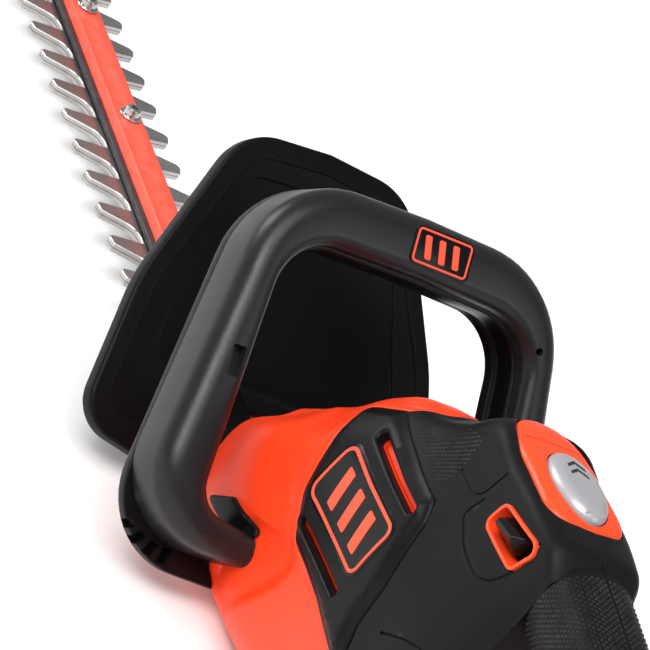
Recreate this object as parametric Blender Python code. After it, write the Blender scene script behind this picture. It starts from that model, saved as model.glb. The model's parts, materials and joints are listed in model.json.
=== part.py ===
"""Cordless hedge trimmer: dual-action blade, hand guard, front bail handle, motor housing, D handle, battery.

Millimetres are used for every driving dimension and turned into metres when a mesh is made.
+X runs along the blade to its tip, +Y to the user's left, +Z up. The origin lies under the middle of the
trimmer's overall box, on the plane that the gear-case cover and the battery rest on. Heights are designed
from a datum REST_Z below that plane, and the whole tool is lowered onto the plane at the end.
"""
import math

import bmesh
import bpy
import numpy as np
from mathutils import Matrix, Vector

MM = 0.001
GAP = 0.3
REST_Z = 12.0

# Cutting blade
BLADE_MID_Z = 30.0
BLADE_THICKNESS = 2.2
TOOTH_PITCH = 28.0
TOOTH_COUNT = 20
FIRST_TOOTH_X = -41.0
TOOTH_TIP_Y = 33.0
BLADE_NOSE_X = 517.3
SPINE_HALF_WIDTH = 13.0
SLOT_HALF_WIDTH = 4.2
SLOT_HALF_LENGTH = 13.0
STROKE_HALF = 8.0
BOLT_COUNT = 5
BOLT_FIRST_X = 49.0
BOLT_SPACING = 106.25
RAIL_BOTTOM_Z = 32.6
RAIL_TOP_Z = 35.8
RAIL_HALF_WIDTH = 11.5
BAR_TOP_Z = 42.1
BAR_HALF_WIDTH = 8.5
BAR_REAR_X = -110.0

# Gear train, all axes vertical
GEAR_X = -200.0
GEAR_TEETH = 40
PINION_TEETH = 10
GEAR_MODULE = 1.3
CENTRE_DISTANCE = GEAR_MODULE * (GEAR_TEETH + PINION_TEETH) / 2
MOTOR_X = GEAR_X - CENTRE_DISTANCE
ECCENTRIC_RADIUS = 9.0
YOKE_HALF = 20.6
YOKE_WALL = 5.0
AXLE_LOW_Z = 17.0
CASE_SPLIT_Z = 26.0
CASE_CORNER = 17.0
CASE_LIP = 1.2

# Nose of the housing, where the guard is screwed on
NOSE_X = -142.0
GUARD_SCREW_Y = 21.0
GUARD_SCREW_Z = 34.0

# Planes of the guard and the bail handle: both lean forward
GUARD_ORIGIN = (-128.0, 0.0, 30.0)
GUARD_LEAN = math.radians(41.0)
BAIL_ORIGIN = (-242.0, 0.0, 30.0)
BAIL_LEAN = math.radians(37.0)
BAIL_REAR_DEPTH = 28.0
BAIL_DEPTH = 37.0
LEVER_TRAVEL = 4.0
LEVER_LOW = 11.0
LEVER_HIGH = 24.0
LEVER_MID = (LEVER_LOW + LEVER_HIGH) / 2
SPRING_U = 30.0
BADGE_U = -6.0

# Housing
WALL = 2.6
SKIN = 2.6
SKIN_GAP = 0.55
FOOT_BOTTOM_Z = 44.3
FOOT_TOP_Z = 70.0
RAIL_FLOOR = 9.7
REAR_END_X = -515.0

# Battery
BATTERY_FRONT_X = -404.0
BATTERY_HALF_WIDTH = 38.0
BATTERY_TOP_Z = 44.0
CELL_RADIUS = 9.0
CELL_PITCH = 18.1
CELL_COUNT = 5
CELL_HALF_LENGTH = 32.5

COLOURS = {
    "orange": ((1.0, 0.09, 0.022), 0.42, 0.0),
    "charcoal": ((0.045, 0.045, 0.05), 0.42, 0.0),
    "black": ((0.012, 0.012, 0.012), 0.5, 0.0),
    "soft_grip": ((0.018, 0.018, 0.02), 0.75, 0.0),
    "steel": ((0.33, 0.31, 0.30), 0.35, 1.0),
    "dark_steel": ((0.06, 0.06, 0.065), 0.4, 1.0),
    "painted_bar": ((0.9, 0.12, 0.05), 0.4, 0.0),
    "dark_rail": ((0.05, 0.05, 0.055), 0.4, 1.0),
    "silver": ((0.42, 0.41, 0.42), 0.35, 0.2),
    "cast": ((0.45, 0.45, 0.46), 0.5, 1.0),
    "cells": ((0.1, 0.2, 0.35), 0.4, 0.3),
    "board": ((0.02, 0.12, 0.04), 0.5, 0.0),
}


# ---------------------------------------------------------------- scene and mesh helpers

def clear_scene():
    for obj in list(bpy.data.objects):
        bpy.data.objects.remove(obj, do_unlink=True)


def material(name, slot):
    """A material of the piece's own, with its slot's colour, roughness and metallic value."""
    colour, roughness, metallic = COLOURS[slot]
    made = bpy.data.materials.new(name)
    made.use_nodes = True
    shader = made.node_tree.nodes["Principled BSDF"]
    shader.inputs["Base Color"].default_value = (*colour, 1.0)
    shader.inputs["Roughness"].default_value = roughness
    shader.inputs["Metallic"].default_value = metallic
    return made


def solid(name, points, faces):
    """Makes one object from points in millimetres, with its faces turned outward."""
    mesh = bpy.data.meshes.new(name)
    mesh.from_pydata([tuple(c * MM for c in p) for p in points], [], faces)
    work = bmesh.new()
    work.from_mesh(mesh)
    bmesh.ops.recalc_face_normals(work, faces=work.faces)
    work.to_mesh(mesh)
    work.free()
    obj = bpy.data.objects.new(name, mesh)
    bpy.context.collection.objects.link(obj)
    return obj


def boolean(target, other, operation):
    """Applies a Boolean of target with other, and removes other."""
    step = target.modifiers.new(operation, "BOOLEAN")
    step.operation = operation
    step.solver = "EXACT"
    step.object = other
    graph = bpy.context.evaluated_depsgraph_get()
    mesh = bpy.data.meshes.new_from_object(target.evaluated_get(graph))
    target.modifiers.clear()
    old = target.data
    target.data = mesh
    bpy.data.meshes.remove(old)
    bpy.data.objects.remove(other, do_unlink=True)
    return target


def cut(target, *others):
    for other in others:
        boolean(target, other, "DIFFERENCE")
    return target


def join(target, *others):
    for other in others:
        boolean(target, other, "UNION")
    return target


def keep(target, other):
    return boolean(target, other, "INTERSECT")


def finish(obj, name, slot, pivot=None):
    """Names a finished piece, shades it and puts its origin on its pivot."""
    obj.name = name
    obj.data.name = name
    obj.data.materials.clear()
    obj.data.materials.append(material(name, slot))
    obj.data.shade_smooth()
    obj.data.set_sharp_from_angle(angle=math.radians(30.0))
    if pivot is not None:
        place = Vector(pivot) * MM
        obj.data.transform(Matrix.Translation(-place))
        obj.location = place
    return obj


# ---------------------------------------------------------------- planes, outlines and lofts

class Plane:
    """Axes u (across), v (along the plane), w (through it) at an origin."""

    def __init__(self, origin, u, v):
        self.origin = Vector(origin)
        self.u = Vector(u)
        self.v = Vector(v)
        self.w = self.u.cross(self.v)

    def at(self, u, v, w):
        return self.origin + self.u * u + self.v * v + self.w * w


FLAT = Plane((0, 0, 0), (1, 0, 0), (0, 1, 0))
LEFTWARD = Plane((0, 0, 0), (1, 0, 0), (0, 0, -1))
ACROSS = Plane((0, 0, 0), (0, 1, 0), (0, 0, 1))
GUARD = Plane(GUARD_ORIGIN, (0, 1, 0), (math.sin(GUARD_LEAN), 0, math.cos(GUARD_LEAN)))
BAIL = Plane(BAIL_ORIGIN, (0, 1, 0), (math.sin(BAIL_LEAN), 0, math.cos(BAIL_LEAN)))


def rounded(corners, steps=5):
    """Closed outline through corners (u, v, radius), each replaced by an arc of its radius."""
    points = []
    count = len(corners)
    for i, (u, v, radius) in enumerate(corners):
        here = Vector((u, v))
        if radius <= 0:
            points.append(here)
            continue
        before = (Vector(corners[i - 1][:2]) - here).normalized()
        after = (Vector(corners[(i + 1) % count][:2]) - here).normalized()
        half = before.angle(after) / 2
        reach = radius / math.tan(half)
        centre = here + (before + after).normalized() * (radius / math.sin(half))
        start = here + before * reach - centre
        turn = (here + after * reach - centre).angle_signed(start)
        for k in range(steps + 1):
            spin = Matrix.Rotation(turn * k / steps, 2)
            points.append(centre + spin @ start)
    return [(p.x, p.y) for p in points]


def symmetric(corners, steps=5):
    """Outline through corners given for u >= 0 from the lower end up, and their mirror images."""
    other = [(-u, v, radius) for u, v, radius in reversed(corners) if u > 0]
    return rounded(corners + other, steps)


def box_outline(u0, v0, u1, v1, radius=0.0, steps=3):
    return rounded([(u0, v0, radius), (u1, v0, radius), (u1, v1, radius), (u0, v1, radius)], steps)


def circle(u, v, radius, count=24, start=0.0):
    turns = [start + 2 * math.pi * k / count for k in range(count)]
    return [(u + radius * math.cos(a), v + radius * math.sin(a)) for a in turns]


def area(outline):
    pts = np.array(outline)
    return 0.5 * np.sum(pts[:, 0] * np.roll(pts[:, 1], -1) - np.roll(pts[:, 0], -1) * pts[:, 1])


def offset(outline, distance):
    """Moves a closed outline outward by distance (inward when negative)."""
    pts = np.array(outline)
    sign = 1.0 if area(outline) > 0 else -1.0
    ahead = np.roll(pts, -1, axis=0) - pts
    ahead /= np.linalg.norm(ahead, axis=1)[:, None]
    normal = np.stack([ahead[:, 1], -ahead[:, 0]], axis=1) * sign
    both = normal + np.roll(normal, 1, axis=0)
    both /= np.linalg.norm(both, axis=1)[:, None]
    stretch = np.clip(np.sum(both * normal, axis=1), 0.35, 1.0)
    moved = pts + both * (distance / stretch)[:, None]
    return [tuple(p) for p in moved]


def ring_loft(name, rings, split=False):
    """Skins closed rings of equal length and caps both ends; split halves the quads along one diagonal."""
    count = len(rings[0])
    points = [p for ring in rings for p in ring]
    faces = []
    for r in range(len(rings) - 1):
        for k in range(count):
            a = r * count + k
            b = r * count + (k + 1) % count
            quad = (a, b, b + count, a + count)
            faces += [quad[:3], (quad[2], quad[3], quad[0])] if split else [quad]
    faces.append(tuple(range(count - 1, -1, -1)))
    last = (len(rings) - 1) * count
    faces.append(tuple(range(last, last + count)))
    return solid(name, points, faces)


def rim_levels(low, high, edge, steps, edges):
    """Pairs (w, inset) that round the rim of an extrusion with radius edge."""
    turns = [math.pi / 2 * k / steps for k in range(steps)]
    lower = [(low + edge * (1 - math.cos(a)), -edge * (1 - math.sin(a))) for a in turns]
    upper = [(high - w + low, inset) for w, inset in reversed(lower)]
    levels = lower + [(low + edge, 0.0)] if edges in ("both", "low") else [(low, 0.0)]
    levels += [(high - edge, 0.0)] + upper if edges in ("both", "high") else [(high, 0.0)]
    return levels


def prism(name, outline, low, high, plane=FLAT, edge=0.0, steps=2, edges="both"):
    """Extrudes an outline from low to high along the plane's w, with rounded rims of radius edge."""
    levels = rim_levels(low, high, edge, steps, edges) if edge > 0 else [(low, 0.0), (high, 0.0)]
    rings = []
    for w, grow in levels:
        shape = offset(outline, grow) if grow else outline
        rings.append([plane.at(u, v, w) for u, v in shape])
    return ring_loft(name, rings)


def turned(name, profile, centre, count=24):
    """Turns a profile of (radius, z) about a vertical axis; both ends are closed with flat caps."""
    rings = []
    for radius, z in profile:
        rings.append([(centre[0] + u, centre[1] + v, z) for u, v in circle(0, 0, radius, count)])
    return ring_loft(name, rings)


def side_prism(name, outline, y0, y1, edge=0.0):
    """Extrudes an (x, z) outline across the body from y0 to y1."""
    low, high = sorted((y0, y1))
    return prism(name, [(x, -z) for x, z in outline], low, high, LEFTWARD, edge)


def block(name, low, high, radius=0.0, steps=2):
    """Upright box from low to high with rounded vertical edges."""
    return prism(name, box_outline(low[0], low[1], high[0], high[1], radius, steps), low[2], high[2])


def rod(name, radius, start, end, count=20):
    """Round bar from start to end."""
    start = Vector(start)
    end = Vector(end)
    along = (end - start).normalized()
    across = Vector((0, 0, 1)) if abs(along.z) < 0.9 else Vector((1, 0, 0))
    u = along.cross(across).normalized()
    return prism(name, circle(0, 0, radius, count), 0.0, (end - start).length,
                 Plane(start, u, along.cross(u)))


def coil(name, centre, radius, wire, low, high, turns=4, steps=6, sides=4):
    """Compression spring about a vertical axis, as one closed tube."""
    rings = []
    total = turns * steps
    rise = (high - low - 2 * wire) / total
    slope = math.atan2(rise * steps, 2 * math.pi * radius)
    for k in range(total + 1):
        a = 2 * math.pi * k / steps
        out = Vector((math.cos(a), math.sin(a), 0))
        along = Vector((-math.sin(a) * math.cos(slope), math.cos(a) * math.cos(slope), math.sin(slope)))
        up = out.cross(along)
        middle = Vector((centre[0], centre[1], low + wire + rise * k)) + out * radius
        rings.append([middle + out * wire * math.cos(2 * math.pi * s / sides)
                      + up * wire * math.sin(2 * math.pi * s / sides) for s in range(sides)])
    return ring_loft(name, rings)


# ---------------------------------------------------------------- blade

def tooth(x, side):
    """Points of one tooth from its rear root to its front root, on the side +1 or -1."""
    tip = TOOTH_TIP_Y
    spine = SPINE_HALF_WIDTH
    shape = [(-17.5, spine), (-11.5, spine + 3.0), (-6.9, spine + 10.0), (-4.2, tip - 1.6), (0.6, tip),
             (3.6, tip - 2.2), (5.8, spine)]
    return [(x + dx, side * y) for dx, y in shape]


def blade_outline():
    """Outline of one blade: drive ring at the rear, spine and teeth on both sides."""
    ring = YOKE_HALF + YOKE_WALL
    left = [(GEAR_X + ring + 6, SPINE_HALF_WIDTH)]
    right = [(GEAR_X + ring + 6, -SPINE_HALF_WIDTH)]
    for k in range(TOOTH_COUNT):
        x = FIRST_TOOTH_X + TOOTH_PITCH * k
        left += tooth(x, 1)
        right += tooth(x - TOOTH_PITCH / 2, -1)
    nose = FIRST_TOOTH_X + TOOTH_PITCH * (TOOTH_COUNT - 1) + 12.0
    left += [(nose, SPINE_HALF_WIDTH), (BLADE_NOSE_X, 6.0)]
    right += [(nose, -SPINE_HALF_WIDTH), (BLADE_NOSE_X, -6.0)]
    rear = [(GEAR_X + ring, -ring + 5), (GEAR_X + ring - 5, -ring), (GEAR_X - ring + 5, -ring),
            (GEAR_X - ring, -ring + 5), (GEAR_X - ring, ring - 5), (GEAR_X - ring + 5, ring),
            (GEAR_X + ring - 5, ring), (GEAR_X + ring, ring - 5)]
    return right + left[::-1] + rear[::-1]


def bolt_positions():
    return [BOLT_FIRST_X + BOLT_SPACING * k for k in range(BOLT_COUNT)]


def make_blade(name, low):
    blade = prism(name, blade_outline(), low, low + BLADE_THICKNESS)
    inside = box_outline(GEAR_X - YOKE_HALF, -YOKE_HALF, GEAR_X + YOKE_HALF, YOKE_HALF, 6.0, 3)
    cut(blade, prism("opening", inside, low - 1, low + BLADE_THICKNESS + 1))
    for x in bolt_positions():
        slot = box_outline(x - SLOT_HALF_LENGTH, -SLOT_HALF_WIDTH,
                           x + SLOT_HALF_LENGTH, SLOT_HALF_WIDTH, 3.0, 1)
        cut(blade, prism("slot", slot, low - 1, low + BLADE_THICKNESS + 1))
    return finish(blade, name, "steel", (GEAR_X, 0, BLADE_MID_Z))


def make_blade_bar():
    """Dark guide rail on the blades, the painted bar on the rail, and the bolts and nuts through them."""
    end = BOLT_FIRST_X + BOLT_SPACING * (BOLT_COUNT - 1) + 18
    rail_shape = rounded([(BAR_REAR_X - 32, -RAIL_HALF_WIDTH, 2), (end, -RAIL_HALF_WIDTH, 8),
                          (end, RAIL_HALF_WIDTH, 8), (BAR_REAR_X - 32, RAIL_HALF_WIDTH, 2)], 3)
    rail = prism("guide_rail", rail_shape, RAIL_BOTTOM_Z, RAIL_TOP_Z)
    bar_shape = rounded([(BAR_REAR_X, -BAR_HALF_WIDTH, 2), (end - 2, -BAR_HALF_WIDTH, 8),
                         (end - 2, BAR_HALF_WIDTH, 8), (BAR_REAR_X, BAR_HALF_WIDTH, 2)], 3)
    bar = prism("blade_bar", bar_shape, RAIL_TOP_Z + GAP, BAR_TOP_Z, edge=0.8, edges="high",
                steps=1)
    cut(bar, block("channel", (BAR_REAR_X - 5, -BAR_HALF_WIDTH + 1.8, RAIL_TOP_Z - 1),
                   (end - 6, BAR_HALF_WIDTH - 1.8, BAR_TOP_Z - 2.0)))
    for x in bolt_positions():
        for piece in (rail, bar):
            cut(piece, turned("hole", [(3.3, RAIL_BOTTOM_Z - 1), (3.3, BAR_TOP_Z + 1)], (x, 0), 10))
    finish(rail, "guide_rail", "dark_rail")
    finish(bar, "blade_bar", "painted_bar")
    bottom = BLADE_MID_Z - BLADE_THICKNESS - 0.15
    for k, x in enumerate(bolt_positions()):
        profile = [(3.0, bottom - 5.0), (3.0, BAR_TOP_Z + GAP), (7.2, BAR_TOP_Z + GAP),
                   (7.2, BAR_TOP_Z + 1.6), (6.0, BAR_TOP_Z + 1.7), (5.6, BAR_TOP_Z + 5.0),
                   (4.6, BAR_TOP_Z + 5.6)]
        bolt = turned("bolt", profile, (x, 0), 10)
        cut(bolt, prism("socket", circle(x, 0, 2.6, 6), BAR_TOP_Z + 2.6, BAR_TOP_Z + 7))
        finish(bolt, f"blade_bolt_{k + 1}", "steel")
        nut = prism("nut", circle(x, 0, 6.0, 6), bottom - 5.3, bottom - GAP)
        cut(nut, turned("thread", [(3.1, bottom - 6), (3.1, bottom + 1)], (x, 0), 10))
        finish(nut, f"blade_nut_{k + 1}", "steel")


# ---------------------------------------------------------------- gear train and motor

def gear_outline(x, teeth, start):
    """Involute-like trapezoid teeth, a little thinner than the gaps so that they run with backlash."""
    pitch = GEAR_MODULE * teeth / 2
    root = pitch - 1.2 * GEAR_MODULE
    tip = pitch + 0.85 * GEAR_MODULE
    step = 2 * math.pi / teeth
    points = []
    for k in range(teeth):
        middle = start + k * step
        for radius, share in ((root, -0.31), (tip, -0.12), (tip, 0.12), (root, 0.31)):
            a = middle + share * step
            points.append((x + radius * math.cos(a), radius * math.sin(a)))
    return points


def make_gear_train():
    top = 43.0
    gear = prism("drive_gear", gear_outline(GEAR_X, GEAR_TEETH, 0.0), 35.0, top)
    lower_z = BLADE_MID_Z - BLADE_THICKNESS - 0.15
    for offset_y, low in ((STROKE_HALF, BLADE_MID_Z + 0.15), (-STROKE_HALF, lower_z)):
        join(gear, turned("eccentric", [(ECCENTRIC_RADIUS, low), (ECCENTRIC_RADIUS, low + BLADE_THICKNESS)],
                          (GEAR_X, offset_y), 24))
    join(gear, turned("hub", [(7.0, 24.0), (7.0, 45.0)], (GEAR_X, 0), 24))
    cut(gear, turned("bore", [(4.3, 20.0), (4.3, 48.0)], (GEAR_X, 0), 24))
    finish(gear, "drive_gear", "steel", (GEAR_X, 0, BLADE_MID_Z))

    pinion = prism("pinion", gear_outline(MOTOR_X, PINION_TEETH, math.pi / PINION_TEETH), 34.5, 43.5)
    cut(pinion, turned("bore", [(2.8, 30.0), (2.8, 48.0)], (MOTOR_X, 0), 16))
    finish(pinion, "pinion", "steel", (MOTOR_X, 0, 39.0))

    axle = turned("gear_axle", [(4.0, AXLE_LOW_Z), (4.0, 48.8)], (GEAR_X, 0), 24)
    finish(axle, "gear_axle", "steel")


def make_motor():
    can = turned("motor_can", [(20.0, 52.0), (21.0, 53.0), (21.0, 106.0), (20.0, 107.0)], (MOTOR_X, 0), 24)
    cut(can, turned("inside", [(18.8, 54.5), (18.8, 104.5)], (MOTOR_X, 0), 24))
    cut(can, turned("shaft_way", [(9.4, 50.0), (9.4, 110.0)], (MOTOR_X, 0), 24))
    finish(can, "motor_can", "dark_steel")
    rotor = turned("motor_rotor",
                   [(2.5, 33.5), (2.5, 58.0), (15.5, 58.1), (15.5, 98.0), (2.5, 98.1), (2.5, 119.0)],
                   (MOTOR_X, 0), 24)
    finish(rotor, "motor_rotor", "steel", (MOTOR_X, 0, 39.0))
    for name, low in (("lower_bearing", 50.3), ("upper_bearing", 102.0)):
        race = turned("race", [(9.0, low), (9.0, low + 5.0)], (MOTOR_X, 0), 24)
        cut(race, turned("bore", [(2.8, low - 1), (2.8, low + 6)], (MOTOR_X, 0), 24))
        finish(race, name, "steel")
    make_fan()


def make_fan():
    hub = turned("fan", [(19.0, 109.0), (19.0, 110.6)], (MOTOR_X, 0), 24)
    join(hub, turned("boss", [(5.5, 110.0), (5.5, 117.0)], (MOTOR_X, 0), 24))
    for k in range(8):
        a = 2 * math.pi * k / 8
        along = Vector((math.cos(a), math.sin(a), 0))
        across = Vector((-math.sin(a), math.cos(a), 0))
        base = Vector((MOTOR_X, 0, 0))
        corners = [base + along * 5 - across * 0.8, base + along * 18 - across * 0.8,
                   base + along * 18 + across * 0.8, base + along * 5 + across * 0.8]
        vane = prism("vane", [(c.x, c.y) for c in corners], 110.2, 116.0)
        join(hub, vane)
    cut(hub, turned("bore", [(2.8, 105.0), (2.8, 120.0)], (MOTOR_X, 0), 24))
    finish(hub, "cooling_fan", "charcoal", (MOTOR_X, 0, 113.0))


def gear_case_outline(half_width, inset=0.0):
    return box_outline(-262 + inset, -half_width, -148 - inset, half_width, CASE_CORNER - inset, 4)


def make_gear_case():
    """Cast case over the gears, closed from below by a cover that the trimmer rests on."""
    case = prism("gear_case", gear_case_outline(31), CASE_SPLIT_Z, 49.6, edge=2.0, edges="high", steps=1)
    cut(case, prism("room", gear_case_outline(28, 3.0), CASE_SPLIT_Z + CASE_LIP, 46.0))
    cut(case, prism("mouth", gear_case_outline(23.5, 3.0), CASE_SPLIT_Z - 1.0, CASE_SPLIT_Z + 4.0))
    cut(case, block("blade_way", (-156, -14.5, 24.0), (-140, 14.5, 37.0)))
    cut(case, turned("shaft_way", [(9.4, 45.0), (9.4, 52.0)], (MOTOR_X, 0), 24))
    cut(case, turned("axle_seat", [(4.3, 45.0), (4.3, 52.0)], (GEAR_X, 0), 24))
    finish(case, "gear_case", "cast")
    cover = prism("gear_case_cover", gear_case_outline(26), REST_Z, CASE_SPLIT_Z - GAP, edge=4.0, edges="low")
    cut(cover, prism("room", gear_case_outline(23.2, 3.0), REST_Z + 4.0, CASE_SPLIT_Z + 1.0))
    join(cover, turned("boss", [(8.0, REST_Z + 3.0), (8.0, 22.0)], (GEAR_X, 0), 16))
    cut(cover, turned("axle_seat", [(4.3, AXLE_LOW_Z - GAP), (4.3, 24.0)], (GEAR_X, 0), 16))
    finish(cover, "gear_case_cover", "cast")


# ---------------------------------------------------------------- guard

def make_guard():
    """Leaning dished plate with a rim, a recessed panel and a slot over the blade."""
    outline = symmetric([(15, 30, 2), (15, -14, 3), (89, 3, 18), (78, 72, 90), (45, 149.5, 30),
                         (0, 153, 0)], 3)
    plate = prism("blade_guard", outline, 0.0, 9.0, GUARD, edge=2.0, edges="low")
    hollow = symmetric([(20, 36, 2), (20, -7, 3), (83, 8, 12), (72, 72, 90), (40, 142.5, 24), (0, 147, 0)], 2)
    cut(plate, prism("hollow", hollow, 3.0, 12.0, GUARD))
    panel = symmetric([(40, 40, 8), (66, 34, 10), (58, 80, 40), (38, 137, 15), (0, 140, 0)], 2)
    cut(plate, prism("panel", panel, -1.0, 1.0, GUARD))
    for side in (1, -1):
        y = GUARD_SCREW_Y * side
        join(plate, rod("boss", 6.0, (NOSE_X + 0.6, y, GUARD_SCREW_Z), (-124.0, y, GUARD_SCREW_Z)))
        cut(plate, rod("hole", 2.3, (NOSE_X - 3, y, GUARD_SCREW_Z), (-110.0, y, GUARD_SCREW_Z)))
        cut(plate, rod("seat", 4.6, (-126.0, y, GUARD_SCREW_Z), (-108.0, y, GUARD_SCREW_Z)))
    finish(plate, "blade_guard", "black")
    for name, side in (("guard_screw_left", 1), ("guard_screw_right", -1)):
        y = GUARD_SCREW_Y * side
        screw = rod("screw", 2.0, (NOSE_X + 0.6, y, GUARD_SCREW_Z), (-124.0, y, GUARD_SCREW_Z), 12)
        join(screw, rod("head", 4.0, (-125.6, y, GUARD_SCREW_Z), (-122.6, y, GUARD_SCREW_Z), 16))
        finish(screw, name, "steel")


# ---------------------------------------------------------------- bail handle

def loop_outline(foot, reach):
    """U-shaped loop: inner edge from the left foot up and over, then the outer edge back round.

    foot is how low the outer edge reaches in the loop's plane, reach where each foot ends beside the body.
    """
    half = [(0, 163.5, 0), (63, 162, 26), (70, foot + 18, 14), (reach, foot + 13, 4.6), (reach, foot, 4.6),
            (98, foot + 2, 34), (73.5, 187.5, 46), (0, 189.5, 0)]
    flip = [(-u, v, r) for u, v, r in reversed(half[1:7])]
    return rounded(half + flip, 4)


def lever_outline(grow=0.0, lift=0.0):
    """Switch lever: a U-shaped strip let into the loop's inner edge."""
    inner = [(67.6, 82, 1.6), (61.6, 160.6, 24), (0, 162.2, 0)]
    outer = [(74.4, 82, 1.6), (70.0, 168, 28), (0, 169.5, 0)]
    outer = [(u + grow, v + grow + (lift if v > 100 else 0), r) for u, v, r in outer]
    outer[-1] = (0, outer[-1][1], 0)
    low = 82 - grow
    outer[0] = (outer[0][0], low, 1.6)
    inner = [(u - 3 * grow, v - 3 * grow, r) for u, v, r in inner]
    inner[-1] = (0, inner[-1][1], 0)
    inner[0] = (inner[0][0], low, 1.6)
    flip = [(-u, v, r) for u, v, r in reversed(outer[:-1])]
    back = [(-u, v, r) for u, v, r in inner[:-1]]
    return rounded(outer + flip + back + [inner[-1]] + inner[:-1][::-1], 4)


def make_bail():
    """Two moulded shells, the switch lever between the fingers and the bar, its springs and a plain badge."""
    rear = prism("bail_rear_shell", loop_outline(25, 38), 0.0, BAIL_REAR_DEPTH, BAIL, edge=4.5,
                 edges="low")
    groove = lever_outline(0.6, LEVER_TRAVEL + 0.4)
    cut(rear, prism("groove", groove, LEVER_LOW - 0.5, LEVER_HIGH + 0.5, BAIL))
    for side in (1, -1):
        hollow = rounded([(side * 89.5, 62, 2), (side * 86, 100, 0), (side * 80, 138, 1),
                          (side * 75.5, 138, 1), (side * 78, 62, 2)], 2)
        cut(rear, prism("hollow", hollow, 3.0, BAIL_REAR_DEPTH + 1, BAIL))
        pocket = Plane(BAIL.at(side * SPRING_U, 0, LEVER_MID), BAIL.u, -BAIL.w)
        cut(rear, prism("pocket", circle(0, 0, 4.0, 12), 160, 184.5, pocket))
    front = prism("bail_front_shell", loop_outline(15, 33), BAIL_REAR_DEPTH + GAP, BAIL_DEPTH, BAIL,
                  edge=3.0, edges="high")
    for shell in (rear, front):
        cut(shell, hull("clearance", 0.4))
        cut(shell, block("body_room", (-270, -30, -5), (-150, 30, 70)))
    window = box_outline(71, 97, 77, 110, 1.0, 2)
    cut(rear, prism("window", window, -1, 3.5, BAIL))
    cut(rear, prism("eye", circle(-66, 152, 1.6, 10), -1, 4, BAIL))
    plate = box_outline(BADGE_U - 15, 167.5, BADGE_U + 15, 184.5, 3.0, 3)
    cut(rear, prism("badge_seat", offset(plate, GAP), -1, 0.9, BAIL))
    finish(rear, "bail_rear_shell", "charcoal")
    finish(front, "bail_front_shell", "charcoal")
    badge = prism("bail_badge", plate, -0.1, 0.6, BAIL)
    finish(badge, "bail_badge", "black")
    lever = prism("bail_lever", lever_outline(), LEVER_LOW, LEVER_HIGH, BAIL, edge=1.0, steps=1)
    finish(lever, "bail_lever", "black", BAIL.at(0, 166, LEVER_MID))
    for name, side in (("bail_spring_left", 1), ("bail_spring_right", -1)):
        spring = coil(name, (0, 0), 2.8, 0.5, 169.9, 184.0)
        pocket = Plane(BAIL.at(side * SPRING_U, 0, LEVER_MID), BAIL.u, -BAIL.w)
        turn = Matrix((pocket.u, pocket.v, pocket.w)).transposed().to_4x4()
        spring.data.transform(Matrix.Translation(pocket.origin * MM) @ turn)
        finish(spring, name, "steel")


# ---------------------------------------------------------------- body shape

# Upper half-outline of the body at stations along it. Columns: x, top z, crown half-width, valley (y, z),
# shoulder (y, z), side (y, z), low edge (y, z).
STATIONS = (
    (-142, 80, 8, 15, 72, 24, 63, 31, 46, 29, 31),
    (-149, 87, 9, 21, 79, 33, 70, 38, 50, 35, 31),
    (-161, 96, 11, 27, 87, 41, 79, 45, 57, 40, 31),
    (-177, 109, 12, 31, 98, 45, 89, 49, 62, 43, 31),
    (-200, 136, 13, 32, 116, 44, 101, 48, 66, 44, 31),
    (-224, 149, 13, 30, 131, 38, 116, 43.5, 74, 43, 31),
    (-246, 157, 14, 27, 142, 34, 127, 40, 84, 41, 31),
    (-260, 167, 15, 25, 148, 33, 131, 39, 84, 40, 31),
    (-273, 178, 18, 24, 154, 32, 133, 38.5, 84, 39, 31),
    (-302, 178, 20, 23.5, 155, 31, 130, 37.5, 84, 38, 31),
    (-332, 178, 20, 23, 152, 29, 128, 35, 84, 37, 31),
    (-356, 176, 18, 20, 150, 25, 126, 31, 84, 36, 31),
)
BOTTOM_Z = 14.0
BOTTOM_INSET = 17.0


def body_section(row, grow):
    """Closed (y, z) outline of one station, moved outward by grow."""
    x, top, crown, valley, valley_z, shoulder, shoulder_z, side, side_z, low, low_z = row
    half = [(low - BOTTOM_INSET, BOTTOM_Z), (low, low_z), ((low + side) / 2 + 1.0, (low_z + side_z) / 2),
            (side, side_z), ((side + shoulder) / 2 + 1.0, (side_z + shoulder_z) / 2 + 4),
            (shoulder, shoulder_z), (valley, valley_z),
            ((valley + crown) / 2, (valley_z + top) / 2 + 2), (crown, top - 3.0), (crown * 0.5, top)]
    shape = half + [(-y, z) for y, z in reversed(half)]
    return offset(shape, grow) if grow else shape


def body_loft(name, grow):
    rings = []
    for k, row in enumerate(STATIONS):
        x = row[0] + (grow if k == 0 else 0) - (grow if k == len(STATIONS) - 1 else 0)
        rings.append([(x, y, z) for y, z in body_section(row, grow)])
    return ring_loft(name, rings, True)


# Centreline of the D handle's grip, from inside the head round to the foot: x, z, half-height, half-width
HANDLE_PATH = (
    (-318, 160.0, 15.0, 17.0),
    (-345, 159.0, 15.5, 17.0),
    (-375, 155.5, 16.0, 17.0),
    (-405, 151.0, 16.5, 17.5),
    (-435, 145.5, 16.5, 17.5),
    (-463, 137.5, 16.0, 17.0),
    (-484, 123.0, 15.5, 17.0),
    (-497, 103.0, 14.5, 17.5),
    (-502, 82.0, 13.0, 18.5),
    (-503, 62.0, 12.4, 19.5),
)


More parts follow.
